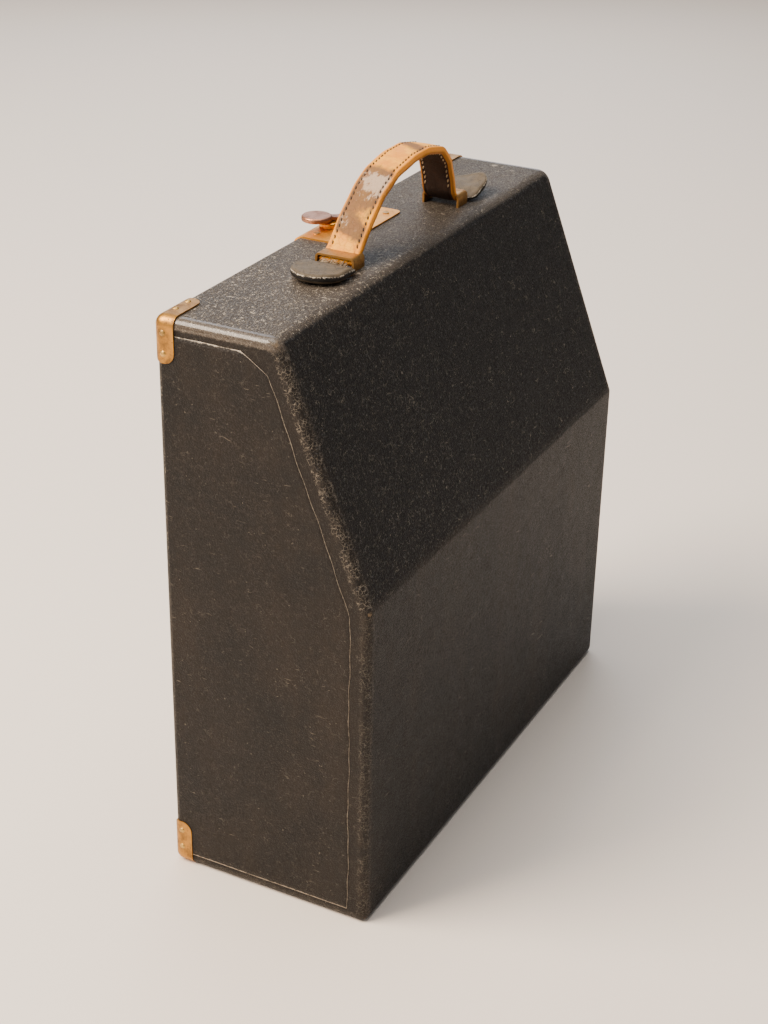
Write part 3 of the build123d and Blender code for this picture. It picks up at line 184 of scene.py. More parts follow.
def leatherclothRecipe():
    # pebbled grain: cell borders sunk between rounded cells, on a warped grid
    # brown where light has faded it; painted shade makes the slope and the front darkest and darkens the ends
    look = leathercloth
    r = Recipe("leathercloth")
    x, y, z = r.axes()
    edge = r.attribute("edge")
    bare = r.attribute("bare")
    rim = r.attribute("rim")
    warped = r.warp(1.1 * mm, 2.5 * mm)
    border = r.cells(look["grain"], "DISTANCE_TO_EDGE", warped)
    pebble = border.step(0.0, 0.22)
    fine = r.cells(look["fineGrain"], "SMOOTH_F1", warped)
    broad = r.noise(38 * mm, 4.0, 0.6)
    blotch = r.noise(9 * mm, 5.0, 0.62)
    speck = r.cells(3.4 * mm, "F1", r.warp(2.5 * mm, 2.5 * mm))
    specks = (1 - speck.step(0.05, 0.13)) * r.noise(14 * mm, 3.0).step(0.47, 0.62)
    crack = r.cells(7 * mm, "DISTANCE_TO_EDGE", r.warp(9 * mm, 5 * mm))
    hairs = (1 - crack.step(0.006, 0.016)) * r.noise(6 * mm, 3.0).step(0.54, 0.66)
    nick = r.noise(1.0, 2.0, 0.5, r.stretch((120.0, 120.0, 900.0), r.warp(8 * mm, 18 * mm)))
    nicks = nick.step(0.66, 0.72) * r.noise(17 * mm, 2.0).step(0.5, 0.64)
    onTop = z.step(look["topHeight"] - 2 * mm, look["topHeight"])
    onSlope = z.step(look["slopeFrom"] + 1 * mm, look["slopeFrom"] + 4 * mm) * (1 - onTop)
    frontSide = 1 - (y - 0.382 * (z - look["slopeFrom"]).most(0.0)).step(-0.0590, -0.0570)
    slopeDark = onSlope * frontSide
    frontDark = frontSide * (1 - onSlope) * (1 - onTop)
    onEnd = abs(x).step(look["endFrom"], look["endFrom"] + 4 * mm) * (1 - onTop)
    streaks = r.noise(1.0, 5.0, 0.62, r.stretch((38.0, 38.0, 7.0), r.warp(12 * mm, 30 * mm)))
    faded = (broad * 0.8 + blotch * 0.45).step(0.25, 0.85)
    colour = r.mix(faded, look["deep"], look["brown"])
    # painted shade: the slope is mixed towards the near-black slope colour, less near the ends' edges
    colour = r.mix(slopeDark * (1 - edge * 0.7).most(0.0), colour, look["slope"])
    # painted light: the whole top is made paler, on top of dusty blotches all over
    dust = (onTop * (0.42 + broad * 0.4) + blotch * 0.3 - 0.2) * (0.5 + pebble * 0.5)
    colour = r.mix(dust, colour, look["dusty"])
    # painted shade: the front is mixed towards the slope colour, broken by lighter faded streaks
    colour = r.mix(frontDark * (1 - streaks.step(0.42, 0.66) * 0.75) * 0.7, colour, look["slope"])
    # painted shade: the ends are darkened towards the slope colour in streaks
    colour = r.mix(onEnd * (0.5 - streaks.step(0.4, 0.7) * 0.4), colour, look["slope"])
    grit = r.noise(0.8 * mm, 3.0, 0.7)
    # painted glints: pale points in the grain, most on the slope, standing in for highlights on the grain
    # tips
    painted_glints = r.noise(1.3 * mm, 4.0, 0.75).step(0.55, 0.70)
    painted_glints = painted_glints * (slopeDark * 0.2 + onTop * 0.12 + frontDark * 0.1 + 0.05)
    colour = r.mix(painted_glints, colour, look["glint_grey"])
    rub = (edge * 0.95 + blotch * 0.9 + broad * 0.3).step(1.3, 1.9)
    colour = r.mix(rub * (0.16 + onTop * 0.2), colour, look["dusty"])
    flakes = r.cells(2.1 * mm, "DISTANCE_TO_EDGE", r.warp(3 * mm, 2 * mm))
    crackle = (1 - flakes.step(0.02, 0.06)) * edge.step(0.5, 0.9) * r.noise(5 * mm, 3.0).step(0.35, 0.6)
    marked = (specks * (0.26 + onTop * 0.6 + slopeDark * 0.16)).most(nicks * (0.16 + onTop * 0.4))
    marked = marked.most(hairs * (0.12 + onTop * 0.5 + slopeDark * 0.24))
    thread = r.cells(3.4 * mm, "DISTANCE_TO_EDGE", r.warp(7 * mm, 3.2 * mm)).step(0.012, 0.04)
    threads = (1 - thread) * r.noise(2.6 * mm, 3.0).step(0.49, 0.6) * (0.3 + (0.02 - x).step(0.0, 0.1) * 0.7)
    marked = marked.most(threads * (0.05 + onTop * 0.75 + slopeDark * 0.12))
    # painted glints: pale points on the grain of the slope and the top, mixed in below with the real pale
    # marks
    grain_glints = grit.step(0.60, 0.72) * (0.05 + slopeDark * 0.13 + onTop * 0.2)
    chafed = (edge * 0.9 + r.noise(2.2 * mm, 4.0, 0.7) * 0.9).step(1.5, 1.64)
    scuffs_and_glints = marked.most(chafed * (0.1 + onSlope * 0.14)).most(crackle * (0.14 + onSlope * 0.2))
    scuffs_and_glints = scuffs_and_glints.most(grain_glints)
    frayed = (rim * 1.05 + r.noise(3.0 * mm, 4.0, 0.7) * 0.7).step(1.12, 1.4)
    colour = r.mix(scuffs_and_glints.most(frayed * 0.95), colour, look["pale"])
    crumple = r.noise(2.4 * mm, 5.0, 0.75)
    worn = (bare * 0.9 + crumple * 1.5 - 0.5).step(0.95, 1.25)
    colour = r.mix(worn, colour, look["board"])
    polish_and_sheen = edge.step(0.62, 0.95) * z.step(look["topHeight"] - 5.5 * mm, look["topHeight"] - 3 * mm)
    rough = 0.38 + (1 - pebble) * 0.18 + blotch * 0.16
    rough = rough - polish_and_sheen * (0.3 - crumple * 0.2) + worn * 0.35 + slopeDark * 0.1
    # painted sheen: the polished top edge is mixed towards the lighter shine colour, besides its real lower
    # roughness and coat
    colour = r.mix(polish_and_sheen * (0.1 + crumple * 0.6), colour, look["shine"])
    height = pebble * (0.6 + slopeDark * 0.9 + onTop * 0.4) + grit * (0.5 + slopeDark * 0.8) + fine * 0.3
    height = height + r.noise(0.5 * mm, 2.0) * 0.25 - hairs * 0.4 - worn * 0.8
    grain = r.bump(height, look["grainDepth"], 1.0)
    dents = r.bump(r.noise(26 * mm, 3.0, 0.6) + r.noise(7 * mm, 2.0) * 0.25, 0.9 * mm, 0.7, grain)
    gloss = polish_and_sheen * (1.15 - crumple * 0.9)
    shine = {"Coat_Weight": gloss, "Coat_Roughness": 0.17, "Specular_IOR_Level": 0.22}
    return r.done(Base_Color=colour, Roughness=rough, Normal=dents, **shine)


brass = {  # bright colour, tarnished colour, roughness, how far the tarnish has gone
    "corner": ("b4813a", "5c4024", 0.38, 1.0), "latch": ("f2a63c", "b0742a", 0.38, 0.8),
    "thumb": ("b07c60", "6b4a38", 0.36, 1.0), "staple": ("b58748", "6a4828", 0.42, 1.0),
    "inside": ("c99c50", "94702f", 0.26, 0.5), "nail": ("c8a058", "5e4428", 0.36, 1.0),
}


def brassRecipe(name):
    # rolled sheet: warm metal, brown tarnish in clouds and pits, fine hair scratches
    bright, dull, gloss, age = brass[name]
    r = Recipe("brass_" + name)
    cloud = r.noise(6 * mm, 5.0, 0.65)
    pit = r.cells(1.7 * mm, "F1", r.warp(1.5 * mm, 1.2 * mm))
    pits = (1 - pit.step(0.08, 0.2)) * r.noise(5 * mm, 2.0).step(0.42, 0.6)
    streak = r.noise(1.0, 4.0, 0.6, r.stretch((220.0, 2400.0, 2400.0), r.warp(1.2 * mm, 12 * mm)))
    tarnish = (cloud * 1.1 + streak * 0.25 + pits * 0.7).step(0.52, 1.05) * age
    colour = r.mix(tarnish, tone(bright), tone(dull))
    rough = gloss + tarnish * 0.26 + (streak - 0.5) * 0.12
    height = streak * 0.25 + cloud * 0.5 - pits * 0.8
    normal = r.bump(height, 0.05 * mm, 0.8)
    return r.done(Base_Color=colour, Metallic=0.92 - tarnish * 0.25, Roughness=rough, Normal=normal)


strapLeather = {
    "tan": tone("e8921a"), "light": tone("ffb62c"), "scuffed": tone("6b503c"), "raw": tone("c9b199"),
    "dark": tone("21150f"), "edgeOrange": tone("ea9424"), "pore": 0.32 * mm,
}


def strapRecipe():
    # tan grain side rubbed grey in patches, dark flesh side, orange cut edges; attributes say which is which
    look = strapLeather
    r = Recipe("strap_leather")
    across, outside, cut, wear = [r.attribute(n) for n in ("across", "outside", "cut", "wear")]
    cloud = r.noise(7 * mm, 5.0, 0.62)
    broad = r.noise(22 * mm, 3.0, 0.55)
    fibre = r.noise(1.0, 4.0, 0.6, r.stretch((260.0, 900.0, 260.0)))
    pores = r.cells(look["pore"], "SMOOTH_F1", r.warp(0.3 * mm, 0.6 * mm))
    crease = r.cells(3.2 * mm, "DISTANCE_TO_EDGE", r.warp(2.5 * mm, 3 * mm))
    creases = 1 - crease.step(0.0, 0.06)
    top = r.mix(cloud.step(0.35, 0.7), look["tan"], look["light"])
    top = r.mix(creases * 0.25 * (0.3 + wear), top, look["dark"])
    frayed = r.noise(1.0, 5.0, 0.72, r.stretch((240.0, 420.0, 240.0), r.warp(3 * mm, 5 * mm)))
    worn = (wear + cloud * 0.7 + frayed * 0.55).step(0.86, 1.3)
    top = r.mix(worn * 0.9, top, look["scuffed"])
    flaked = (wear * 0.75 + frayed * 1.2).step(1.32, 1.5) * worn
    top = r.mix(flaked * 0.7, top, look["raw"])
    groove = abs(across).near(0.73, 0.07) * outside
    top = r.mix(groove * 0.22, top, look["dark"])
    under = r.mix(cloud.step(0.45, 0.75) * 0.5, look["dark"], tone("3a2a20"))
    colour = r.mix(outside, under, top)
    colour = r.mix(cut * (1 - worn * 0.25) * (0.35 + outside * 0.65), colour, look["edgeOrange"])
    height = pores * 0.5 + cloud * 0.8 - creases * 0.8 - worn * 0.5 + fibre * 0.3 + flaked * 0.6
    rough = 0.52 + worn * 0.2 + (1 - outside) * 0.14 + (cloud - 0.5) * 0.2 + broad * 0.05
    normal = r.bump(height, 0.16 * mm, 0.9)
    return r.done(Base_Color=colour, Roughness=rough, Normal=normal, Specular_IOR_Level=0.22)


tabLeather = {"black": tone("1f1c1a"), "brown": tone("5e5241"), "pale": tone("d3c6b2"), "pore": 0.4 * mm}


def tabRecipe():
    look = tabLeather
    r = Recipe("tab_leather")
    rim, side = r.attribute("rim"), r.attribute("cut")
    cloud = r.noise(6 * mm, 5.0, 0.62)
    fray = r.noise(1.4 * mm, 5.0, 0.75)
    crease = r.cells(4.0 * mm, "DISTANCE_TO_EDGE", r.warp(4 * mm, 4 * mm))
    creases = 1 - crease.step(0.0, 0.05)
    colour = r.mix((cloud * 0.9 + 0.25 - side * 1.2).step(0.2, 0.85), look["black"], look["brown"])
    colour = r.mix(creases * 0.4, colour, look["black"])
    chips = (rim * 1.0 + fray * 0.85).step(1.32, 1.46)
    colour = r.mix(chips, colour, look["pale"])
    height = cloud * 0.8 - creases + r.cells(look["pore"], "SMOOTH_F1") * 0.3 + chips * 0.4
    rough = 0.6 + chips * 0.25 + (cloud - 0.5) * 0.2
    normal = r.bump(height, 0.2 * mm, 0.9)
    return r.done(Base_Color=colour, Roughness=rough, Normal=normal, Specular_IOR_Level=0.3)


def threadRecipe(name, code):
    r = Recipe("thread_" + name)
    twist = r.noise(1.0, 2.0, 0.5, r.stretch((3000.0, 1200.0, 1200.0)))
    colour = r.mix(r.noise(9 * mm).step(0.35, 0.7) * 0.5, tone(code), tone("5b4a3a"))
    return r.done(Base_Color=colour, Roughness=0.75 + twist * 0.1, Normal=r.bump(twist, 0.08 * mm, 0.8))


timbers = {  # light colour, dark colour, roughness, how the grain is drawn out
    "plywood": ("b58a5c", "8a6038", 0.6, (18.0, 260.0, 60.0)),
    "mahogany": ("6b2f1a", "35150c", 0.24, (14.0, 300.0, 300.0)),
    "pine": ("b98d58", "8f6433", 0.42, (12.0, 240.0, 240.0)),
}


def timberRecipe(name):
    # long grain: noise drawn out along the board, with darker pores in it
    light, dark, gloss, stretch = timbers[name]
    r = Recipe(name)
    bent = r.warp(5 * mm, 60 * mm)
    grain = r.noise(1.0, 6.0, 0.6, r.stretch(stretch, bent))
    pore = r.noise(1.0, 3.0, 0.6, r.stretch((90.0, 2600.0, 2600.0)))
    pores = pore.step(0.6, 0.72)
    colour = r.mix((grain * 0.85 + r.noise(60 * mm) * 0.3).step(0.35, 0.8), tone(light), tone(dark))
    colour = r.mix(pores * 0.6, colour, tone(dark))
    rough = gloss + pores * 0.2 + (grain - 0.5) * 0.15
    return r.done(Base_Color=colour, Roughness=rough, Normal=r.bump(grain * 0.4 - pores, 0.1 * mm, 0.6))


def feltRecipe():
    r = Recipe("lining_felt")
    nap = r.noise(1.1 * mm, 5.0, 0.75)
    weave = r.noise(1.0, 3.0, 0.6, r.stretch((900.0, 900.0, 300.0)))
    colour = r.mix(nap.step(0.35, 0.7), tone("3c1218"), tone("5e2228"))
    colour = r.mix(r.noise(40 * mm, 4.0).step(0.5, 0.75) * 0.35, colour, tone("6d4a40"))
    normal = r.bump(nap + weave * 0.5, 0.3 * mm)
    sheen = {"Sheen_Weight": 0.12, "Sheen_Roughness": 0.5}
    return r.done(Base_Color=colour, Roughness=0.86 + nap * 0.1, Normal=normal, **sheen)


metals = {
    "steel": ("8d9196", "55524e", 0.26), "capsule_alloy": ("cfc4a6", "8b7c5c", 0.3),
    "pen_alloy": ("c9cacc", "8d8c88", 0.32),
}


def metalRecipe(name):
    # turned or drawn metal: fine lines, a little grey staining
    bright, dull, gloss = metals[name]
    r = Recipe(name)
    lines = r.noise(1.0, 3.0, 0.6, r.stretch((700.0, 700.0, 5200.0)))
    stain = (r.noise(8 * mm, 5.0, 0.65) + lines * 0.2).step(0.5, 0.85)
    colour = r.mix(stain, tone(bright), tone(dull))
    rough = gloss + stain * 0.2 + (lines - 0.5) * 0.15
    normal = r.bump(lines, 0.02 * mm, 0.7)
    return r.done(Base_Color=colour, Metallic=0.95 - stain * 0.15, Roughness=rough, Normal=normal)


chart = {
    "paper": tone("e6dfc8"), "aged": tone("cdbf98"), "ink": tone("8c3a2c"), "trace": tone("2a2a6a"),
    "levels": 23, "hours": 84, "days": 7, "lineWidth": 0.16 * mm,
}


def chartRecipe():
    # printed drum chart: level lines by height, time lines by angle round the drum, one week's ink trace
    look = chart
    low, high = [Vector(v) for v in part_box("chart_paper")]
    middle = (low + high) / 2
    radius = (high.x - low.x) / 2
    r = Recipe("chart_paper")
    x, y, z = r.axes()
    angle = r.node("ShaderNodeMath", {"operation": "ARCTAN2"}, {0: y - middle.y, 1: x - middle.x})
    pitch = (high.z - low.z) / look["levels"]
    margin = z.step(low.z + pitch * 0.9, low.z + pitch) * (1 - z.step(high.z - pitch, high.z - pitch * 0.9))
    rise = ((z - low.z) / pitch) % 1.0
    levelLine = rise.near(0.5, look["lineWidth"] / pitch * 1.6)
    strongLine = (((z - low.z) / (pitch * 5)) % 1.0).near(0.5, look["lineWidth"] / pitch * 0.55)
    turn = angle * (look["hours"] / (2 * math.pi))
    girth = 2 * math.pi * radius
    hourLine = (turn % 1.0).near(0.5, look["lineWidth"] / (girth / look["hours"]) * 1.6)
    dayLine = ((turn / 12) % 1.0).near(0.5, look["lineWidth"] / (girth / look["days"]) * 2.4)
    sweep = r.node("ShaderNodeMath", {"operation": "SINE"}, {0: angle * 2.0 + 0.7}) * 9 * mm
    wobble = (r.noise(24 * mm, 4.0, 0.6) - 0.5) * 0.012
    traceLine = abs(z - (low.z + high.z) / 2 - sweep - wobble).near(0.0, 0.5 * mm)
    ruling = levelLine.most(hourLine * 0.7).most(strongLine).most(dayLine) * margin
    stain = r.noise(30 * mm, 5.0, 0.6).step(0.45, 0.75)
    colour = r.mix(stain * 0.7, look["paper"], look["aged"])
    colour = r.mix(ruling * 0.7, colour, look["ink"])
    colour = r.mix(traceLine * 0.9, colour, look["trace"])
    fibre = r.noise(0.6 * mm, 4.0, 0.7)
    return r.done(Base_Color=colour, Roughness=0.82, Normal=r.bump(fibre, 0.03 * mm, 0.6))


def cardRecipe():
    r = Recipe("card_box")
    weave = r.noise(1.0, 2.0, 0.5, r.stretch((1500.0, 1500.0, 1500.0)))
    colour = r.mix(r.noise(18 * mm, 5.0, 0.6).step(0.4, 0.75), tone("5a4a3a"), tone("7a6650"))
    return r.done(Base_Color=colour, Roughness=0.78 + weave * 0.1, Normal=r.bump(weave, 0.12 * mm, 0.7))


def glassRecipe():
    r = Recipe("ink_glass")
    ripple = r.noise(14 * mm, 3.0)
    dust = r.noise(5 * mm, 5.0, 0.7).step(0.5, 0.8)
    colour = r.mix(dust * 0.3, tone("1a1c3a"), tone("6d6c72"))
    normal = r.bump(ripple, 0.5 * mm, 0.5)
    return r.done(Base_Color=colour, Roughness=0.08 + dust * 0.3, Normal=normal, Coat_Weight=0.6)


finishes = {
    "leathercloth": leatherclothRecipe(), "plywood": timberRecipe("plywood"), "lining_cloth": feltRecipe(),
    "brass": brassRecipe("inside"), "latch_brass": brassRecipe("latch"), "thumb_bronze": brassRecipe("thumb"),
    "strap_leather": strapRecipe(), "tab_leather": tabRecipe(), "mahogany": timberRecipe("mahogany"),
    "pine": timberRecipe("pine"), "card": cardRecipe(), "ink_glass": glassRecipe(),
    "capsule_alloy": metalRecipe("capsule_alloy"), "steel": metalRecipe("steel"),
    "pen_alloy": metalRecipe("pen_alloy"), "chart_paper": chartRecipe(),
}
for extra in ("corner", "staple", "nail"):
    finishes["brass_" + extra] = brassRecipe(extra)
finishes["thread_dark"] = threadRecipe("dark", "2e1d12")
finishes["thread_pale"] = threadRecipe("pale", "a98f6c")
finishes["fibre"] = threadRecipe("fibre", "cbb596")
ownFinish = {
    "top_corners": "brass_corner", "bottom_corners": "brass_corner", "corner_nails": "brass_nail",
    "handle_staples": "brass_staple", "case_hinges": "brass_corner", "door_hinge_leaves": "brass_corner",
    "door_screws": "brass_nail", "brass_screws": "brass_nail",
}
slotOf = {part["node"]: part["material_slot"] for part in frame["record"]["subparts"]}
for name, node in frame["nodes"].items():
    node.data.materials.clear()
    node.data.materials.append(finishes[ownFinish.get(name, slotOf[name])])
print("finishes made:", len(finishes))


def gridQuads(rows, columns, closeRows=False, closeColumns=False):
    # corner numbers of every quad on a grid of points, row by row
    i = np.arange(rows if closeRows else rows - 1)[:, None]
    j = np.arange(columns if closeColumns else columns - 1)[None, :]
    nextI, nextJ = (i + 1) % rows, (j + 1) % columns
    corners = [i * columns + j, nextI * columns + j, nextI * columns + nextJ, i * columns + nextJ]
    return np.stack(np.broadcast_arrays(*corners), axis=-1).reshape(-1, 4)


def makePiece(name, points, quads, finish, body, stands=(), values=None, weld=0.01 * mm, flip=None):
    # a smooth mesh object from points and quads; values are numbers per point for its material
    # an empty body leaves the piece unattached to any body
    mesh = bpy.data.meshes.new(name)
    mesh.from_pydata(points.reshape(-1, 3).tolist(), [], quads.tolist())
    for key, numbers in (values or {}).items():
        layer = mesh.attributes.new(key, "FLOAT", "POINT")
        layer.data.foreach_set("value", np.ascontiguousarray(numbers, dtype=np.float32).ravel())
    work = bmesh.new()
    work.from_mesh(mesh)
    if weld:
        bmesh.ops.remove_doubles(work, verts=work.verts, dist=weld)
    bmesh.ops.delete(work, geom=[v for v in work.verts if not v.link_faces], context="VERTS")
    if flip is None:
        bmesh.ops.recalc_face_normals(work, faces=work.faces)
    elif flip:
        bmesh.ops.reverse_faces(work, faces=work.faces)
    work.to_mesh(mesh)
    work.free()
    mesh.shade_smooth()
    piece = bpy.data.objects.new(name, mesh)
    bpy.context.scene.collection.objects.link(piece)
    mesh.materials.append(finishes[finish])
    if stands:
        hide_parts(*stands)
    if body:
        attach(piece, body)
    return piece


def smoothPath(points, count, passes=40):
    # evenly spaced points on straight runs between the given ones, then each averaged with its neighbours
    points = np.asarray(points, float)
    run = np.concatenate([[0], np.cumsum(np.linalg.norm(np.diff(points, axis=0), axis=1))])
    at = np.linspace(0, run[-1], count)
    line = np.stack([np.interp(at, run, points[:, k]) for k in range(points.shape[1])], axis=1)
    for _ in range(passes):
        line[1:-1] = line[1:-1] * 0.5 + (line[:-2] + line[2:]) * 0.25
    return line


case = {
    "kneeHeight": 0.194, "topDepth": 0.070, "wall": 8.0 * mm, "endRound": 4.5 * mm,
    "rounds": (4.6, 4.6, 9.0, 6.0, 4.6), "turnIn": 17 * mm, "clothThickness": 0.95 * mm, "arcSteps": 9,
    "runStep": 4 * mm, "ripple": 0.16 * mm, "creep": 2.6 * mm,
    # bare board at a corner of the side outline: distance back from it, height above it, size, all in mm
    "bareTop": (1.0, -2.0, 4.2), "bareKnee": (1.0, 0.0, 3.4), "bareFoot": (1.0, 3.0, 3.0),
}
caseLow, caseHigh = [np.array(v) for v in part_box("wrap_covering")]
halfLength, backY, frontY, caseTop = caseHigh[0], caseHigh[1], caseLow[1], caseHigh[2]
profile = np.array([
    (backY, 0), (backY, caseTop), (backY - case["topDepth"], caseTop),
    (frontY, case["kneeHeight"]), (frontY, 0),
])


def inwardNormals(points):
    run = np.roll(points, -1, axis=0) - points
    run = run / np.linalg.norm(run, axis=1, keepdims=True)
    return np.stack([-run[:, 1], run[:, 0]], axis=1)  # one for the side that leaves each corner


def ringAt(depths, points, rounds, runs):
    # the outline moved in by each depth: arcs at the corners and straight runs between them
    # an arc's radius is its corner's radius less the depth
    leave = inwardNormals(points)
    arrive = np.roll(leave, 1, axis=0)
    radius = np.maximum(rounds[None, :] - depths[:, None], 0.02 * mm)
    reach = (depths[:, None] + radius) / (1 + (leave * arrive).sum(1))[None, :]
    centre = points[None] + (leave + arrive)[None] * reach[..., None]
    start = np.arctan2(-arrive[:, 1], -arrive[:, 0])
    turn = (np.arctan2(-leave[:, 1], -leave[:, 0]) - start + np.pi) % (2 * np.pi) - np.pi
    angle = start[:, None] + turn[:, None] * np.linspace(0, 1, case["arcSteps"])[None]
    arc = centre[:, :, None] + radius[:, :, None, None] * np.stack([np.cos(angle), np.sin(angle)], -1)[None]
    pieces = []
    for i, run in enumerate(runs):
        first, last = arc[:, i, -1], arc[:, (i + 1) % len(points), 0]
        pieces += [arc[:, i], first[:, None] + (last - first)[:, None] * run[None, :, None]]
    return np.concatenate(pieces, axis=1)


def makeWrap():
    # columns go round the side outline
    # rows go from one turned-in end, over its rounded edge, along the case and back in
    rounds = np.array(case["rounds"]) * mm
    lengths = np.linalg.norm(np.roll(profile, -1, axis=0) - profile, axis=1)
    runs = [np.linspace(0, 1, int(n / case["runStep"]) + 2)[1:-1] for n in lengths]
    straight = lengths[0] - rounds[0] - rounds[1]
    sill = (case["wall"] - rounds[0]) / straight
    runs[0] = np.concatenate([[sill * 0.5], np.linspace(sill, 1 - sill, len(runs[0])), [1 - sill * 0.5]])
    r = case["endRound"]
    bend = np.linspace(0, np.pi / 2, 9)
    stripDepth = np.linspace(case["turnIn"], r, 7)[:-1]
    tubeEnd = halfLength - r
    doorX = halfLength - case["wall"]
    tube = np.linspace(-doorX, doorX, int(2 * doorX / case["runStep"]))
    strip = np.full(len(stripDepth), halfLength)
    bendX, bendDepth = tubeEnd + r * np.cos(bend), r * (1 - np.sin(bend))
    x = np.concatenate([-strip, -bendX, tube, bendX[::-1], strip])
    depth = np.concatenate([stripDepth, bendDepth, 0 * tube, bendDepth[::-1], stripDepth[::-1]])
    ring = ringAt(depth, profile, rounds, runs)
    rows, columns = ring.shape[:2]
    points = np.concatenate([np.broadcast_to(x[:, None, None], (rows, columns, 1)), ring], axis=2)
    # shallow ripples of glued cloth, fading out at the edges
    fromEnd = np.clip((tubeEnd - abs(points[..., 0])) / (20 * mm), 0, 1)
    across, deep, up = points[..., 0], points[..., 1], points[..., 2]
    wave = np.sin(across * 61 + up * 23) * np.sin(up * 47 - deep * 90 + 1.3)
    onFront = (points[..., 1] < backY - 3 * mm) & (points[..., 2] > 5 * mm)
    points[..., 1] += np.where(onFront, wave * case["ripple"] * fromEnd + case["ripple"] * 0.9 * fromEnd, 0)
    along = abs(points[..., 0])
    toEnd = np.where(along < tubeEnd, tubeEnd - along, 0)
    toEnd = np.where(along > halfLength - 0.01 * mm, np.maximum(depth[:, None] - r, 0), toEnd)
    outline = ringAt(np.zeros(1), profile, rounds, runs)[0]
    arcMask = np.zeros(columns, bool)
    at = 0
    for run in runs:
        arcMask[at : at + case["arcSteps"]] = True
        at += case["arcSteps"] + len(run)
    gap = np.linalg.norm(outline[:, None] - outline[arcMask][None], axis=2).min(1)
    roundGap = 0.4 * np.exp(-gap / case["creep"])[None] * np.ones((rows, 1))
    edge = np.maximum(np.exp(-toEnd / case["creep"]), roundGap)
    bare = np.zeros((rows, columns))
    for corner, spotName in ((2, "bareTop"), (3, "bareKnee"), (4, "bareFoot")):
        back, above, size = np.array(case[spotName]) * mm
        spotY, spotZ = profile[corner] + (back, above)
        for side in (-1, 1):
            spot = np.array([side * (halfLength - 1.5 * mm), spotY, spotZ])
            bare = np.maximum(bare, np.exp(-((np.linalg.norm(points - spot, axis=2) / size) ** 2)))
    quads = gridQuads(rows, columns, closeColumns=True)
    centre = points.reshape(-1, 3)[quads].mean(axis=1)
    hole = (centre[:, 1] > backY - 0.3 * mm) & (abs(centre[:, 0]) < doorX)
    hole &= (centre[:, 2] > case["wall"]) & (centre[:, 2] < caseTop - case["wall"])
    values = {"edge": edge, "bare": bare}
    piece = makePiece("case_wrap", points, quads[~hole], "leathercloth", "root",
                      ("wrap_covering",), values, fineWeld, True)
    shell = piece.modifiers.new("cloth", "SOLIDIFY")
    shell.thickness = case["clothThickness"]
    shell.offset = -1


endSheet = {
    "inset": {"top": 8.6 * mm, "slope": 11.5 * mm, "front": 11.0 * mm, "floor": 7.0 * mm, "rear": 3.6 * mm},
    "cutDrop": 10 * mm, "cutLean": 1.15, "proud": 0.42 * mm, "thickness": 0.5 * mm, "step": 3 * mm,
    "wander": 0.55 * mm,
}


def makeEndSheet(side, node):
    # rows climb the case, columns go from the slanting front edge to the rear; the outline wanders a little
    look = endSheet["inset"]
    slope = (profile[2] - profile[3]) / np.linalg.norm(profile[2] - profile[3])
    sink = look["slope"] / slope[1]
    low, high = look["floor"], caseTop - look["top"]
    cut = high - endSheet["cutDrop"]
    even = np.linspace(low, high, int((high - low) / endSheet["step"]))
    z = np.unique(np.concatenate([even, [cut, case["kneeHeight"]]]))
    # upright up to the knee, then parallel to the slope, then cut back more steeply under the top edge
    slopeY = profile[3][0] + sink + (z - profile[3][1]) * slope[0] / slope[1]
    front = np.where(z > case["kneeHeight"] - 1.5 * mm, slopeY, profile[3][0] + look["front"])
    front = np.maximum(front, profile[3][0] + look["front"])
    front = front + np.maximum(z - cut, 0) * endSheet["cutLean"]
    front = front + endSheet["wander"] * (np.sin(z * 310) * 0.4 + np.sin(z * 97 + 1) * 0.6)
    rear = np.full_like(z, backY - look["rear"])
    t = np.concatenate([[0, 0.004, 0.012], np.linspace(0.03, 0.97, 34), [0.988, 0.996, 1]])
    y = front[:, None] + (rear - front)[:, None] * t[None]
    atTop = np.clip((z - low) / (high - low), 0, 1)[:, None] ** 8
    zz = z[:, None] + endSheet["wander"] * 0.2 * np.sin(y * 240) * atTop
    acrossGap = np.minimum(y - front[:, None], rear[:, None] - y + 0.6 * mm)
    dist = np.minimum(acrossGap, np.minimum(zz - low, high - zz))
    stand = endSheet["proud"] * np.clip(dist / (0.8 * mm), 0.35, 1) + 0.05 * mm * np.sin(y * 130 + zz * 60)
    x = side * (halfLength + stand)
    points = np.stack([x, y, zz], axis=2)
    rim = np.exp(-np.maximum(dist, 0) / (0.8 * mm))
    rim = rim * np.where(rear[:, None] - y < 2 * mm, 0.3, 1.0)
    edge = np.exp(-np.maximum(dist, 0) / (5 * mm)) * 0.5
    quads = gridQuads(len(z), len(t))[:, ::-side]
    name = "end_sheet_right" if side > 0 else "end_sheet_left"
    piece = makePiece(name, points, quads, "leathercloth", "root", (node,),
                      {"rim": rim, "edge": edge}, 0, False)
    shell = piece.modifiers.new("cloth", "SOLIDIFY")
    shell.thickness = endSheet["thickness"]
    shell.offset = -1


makeWrap()
makeEndSheet(-1, "left_side_covering")
makeEndSheet(1, "right_side_covering")
print("case covered")


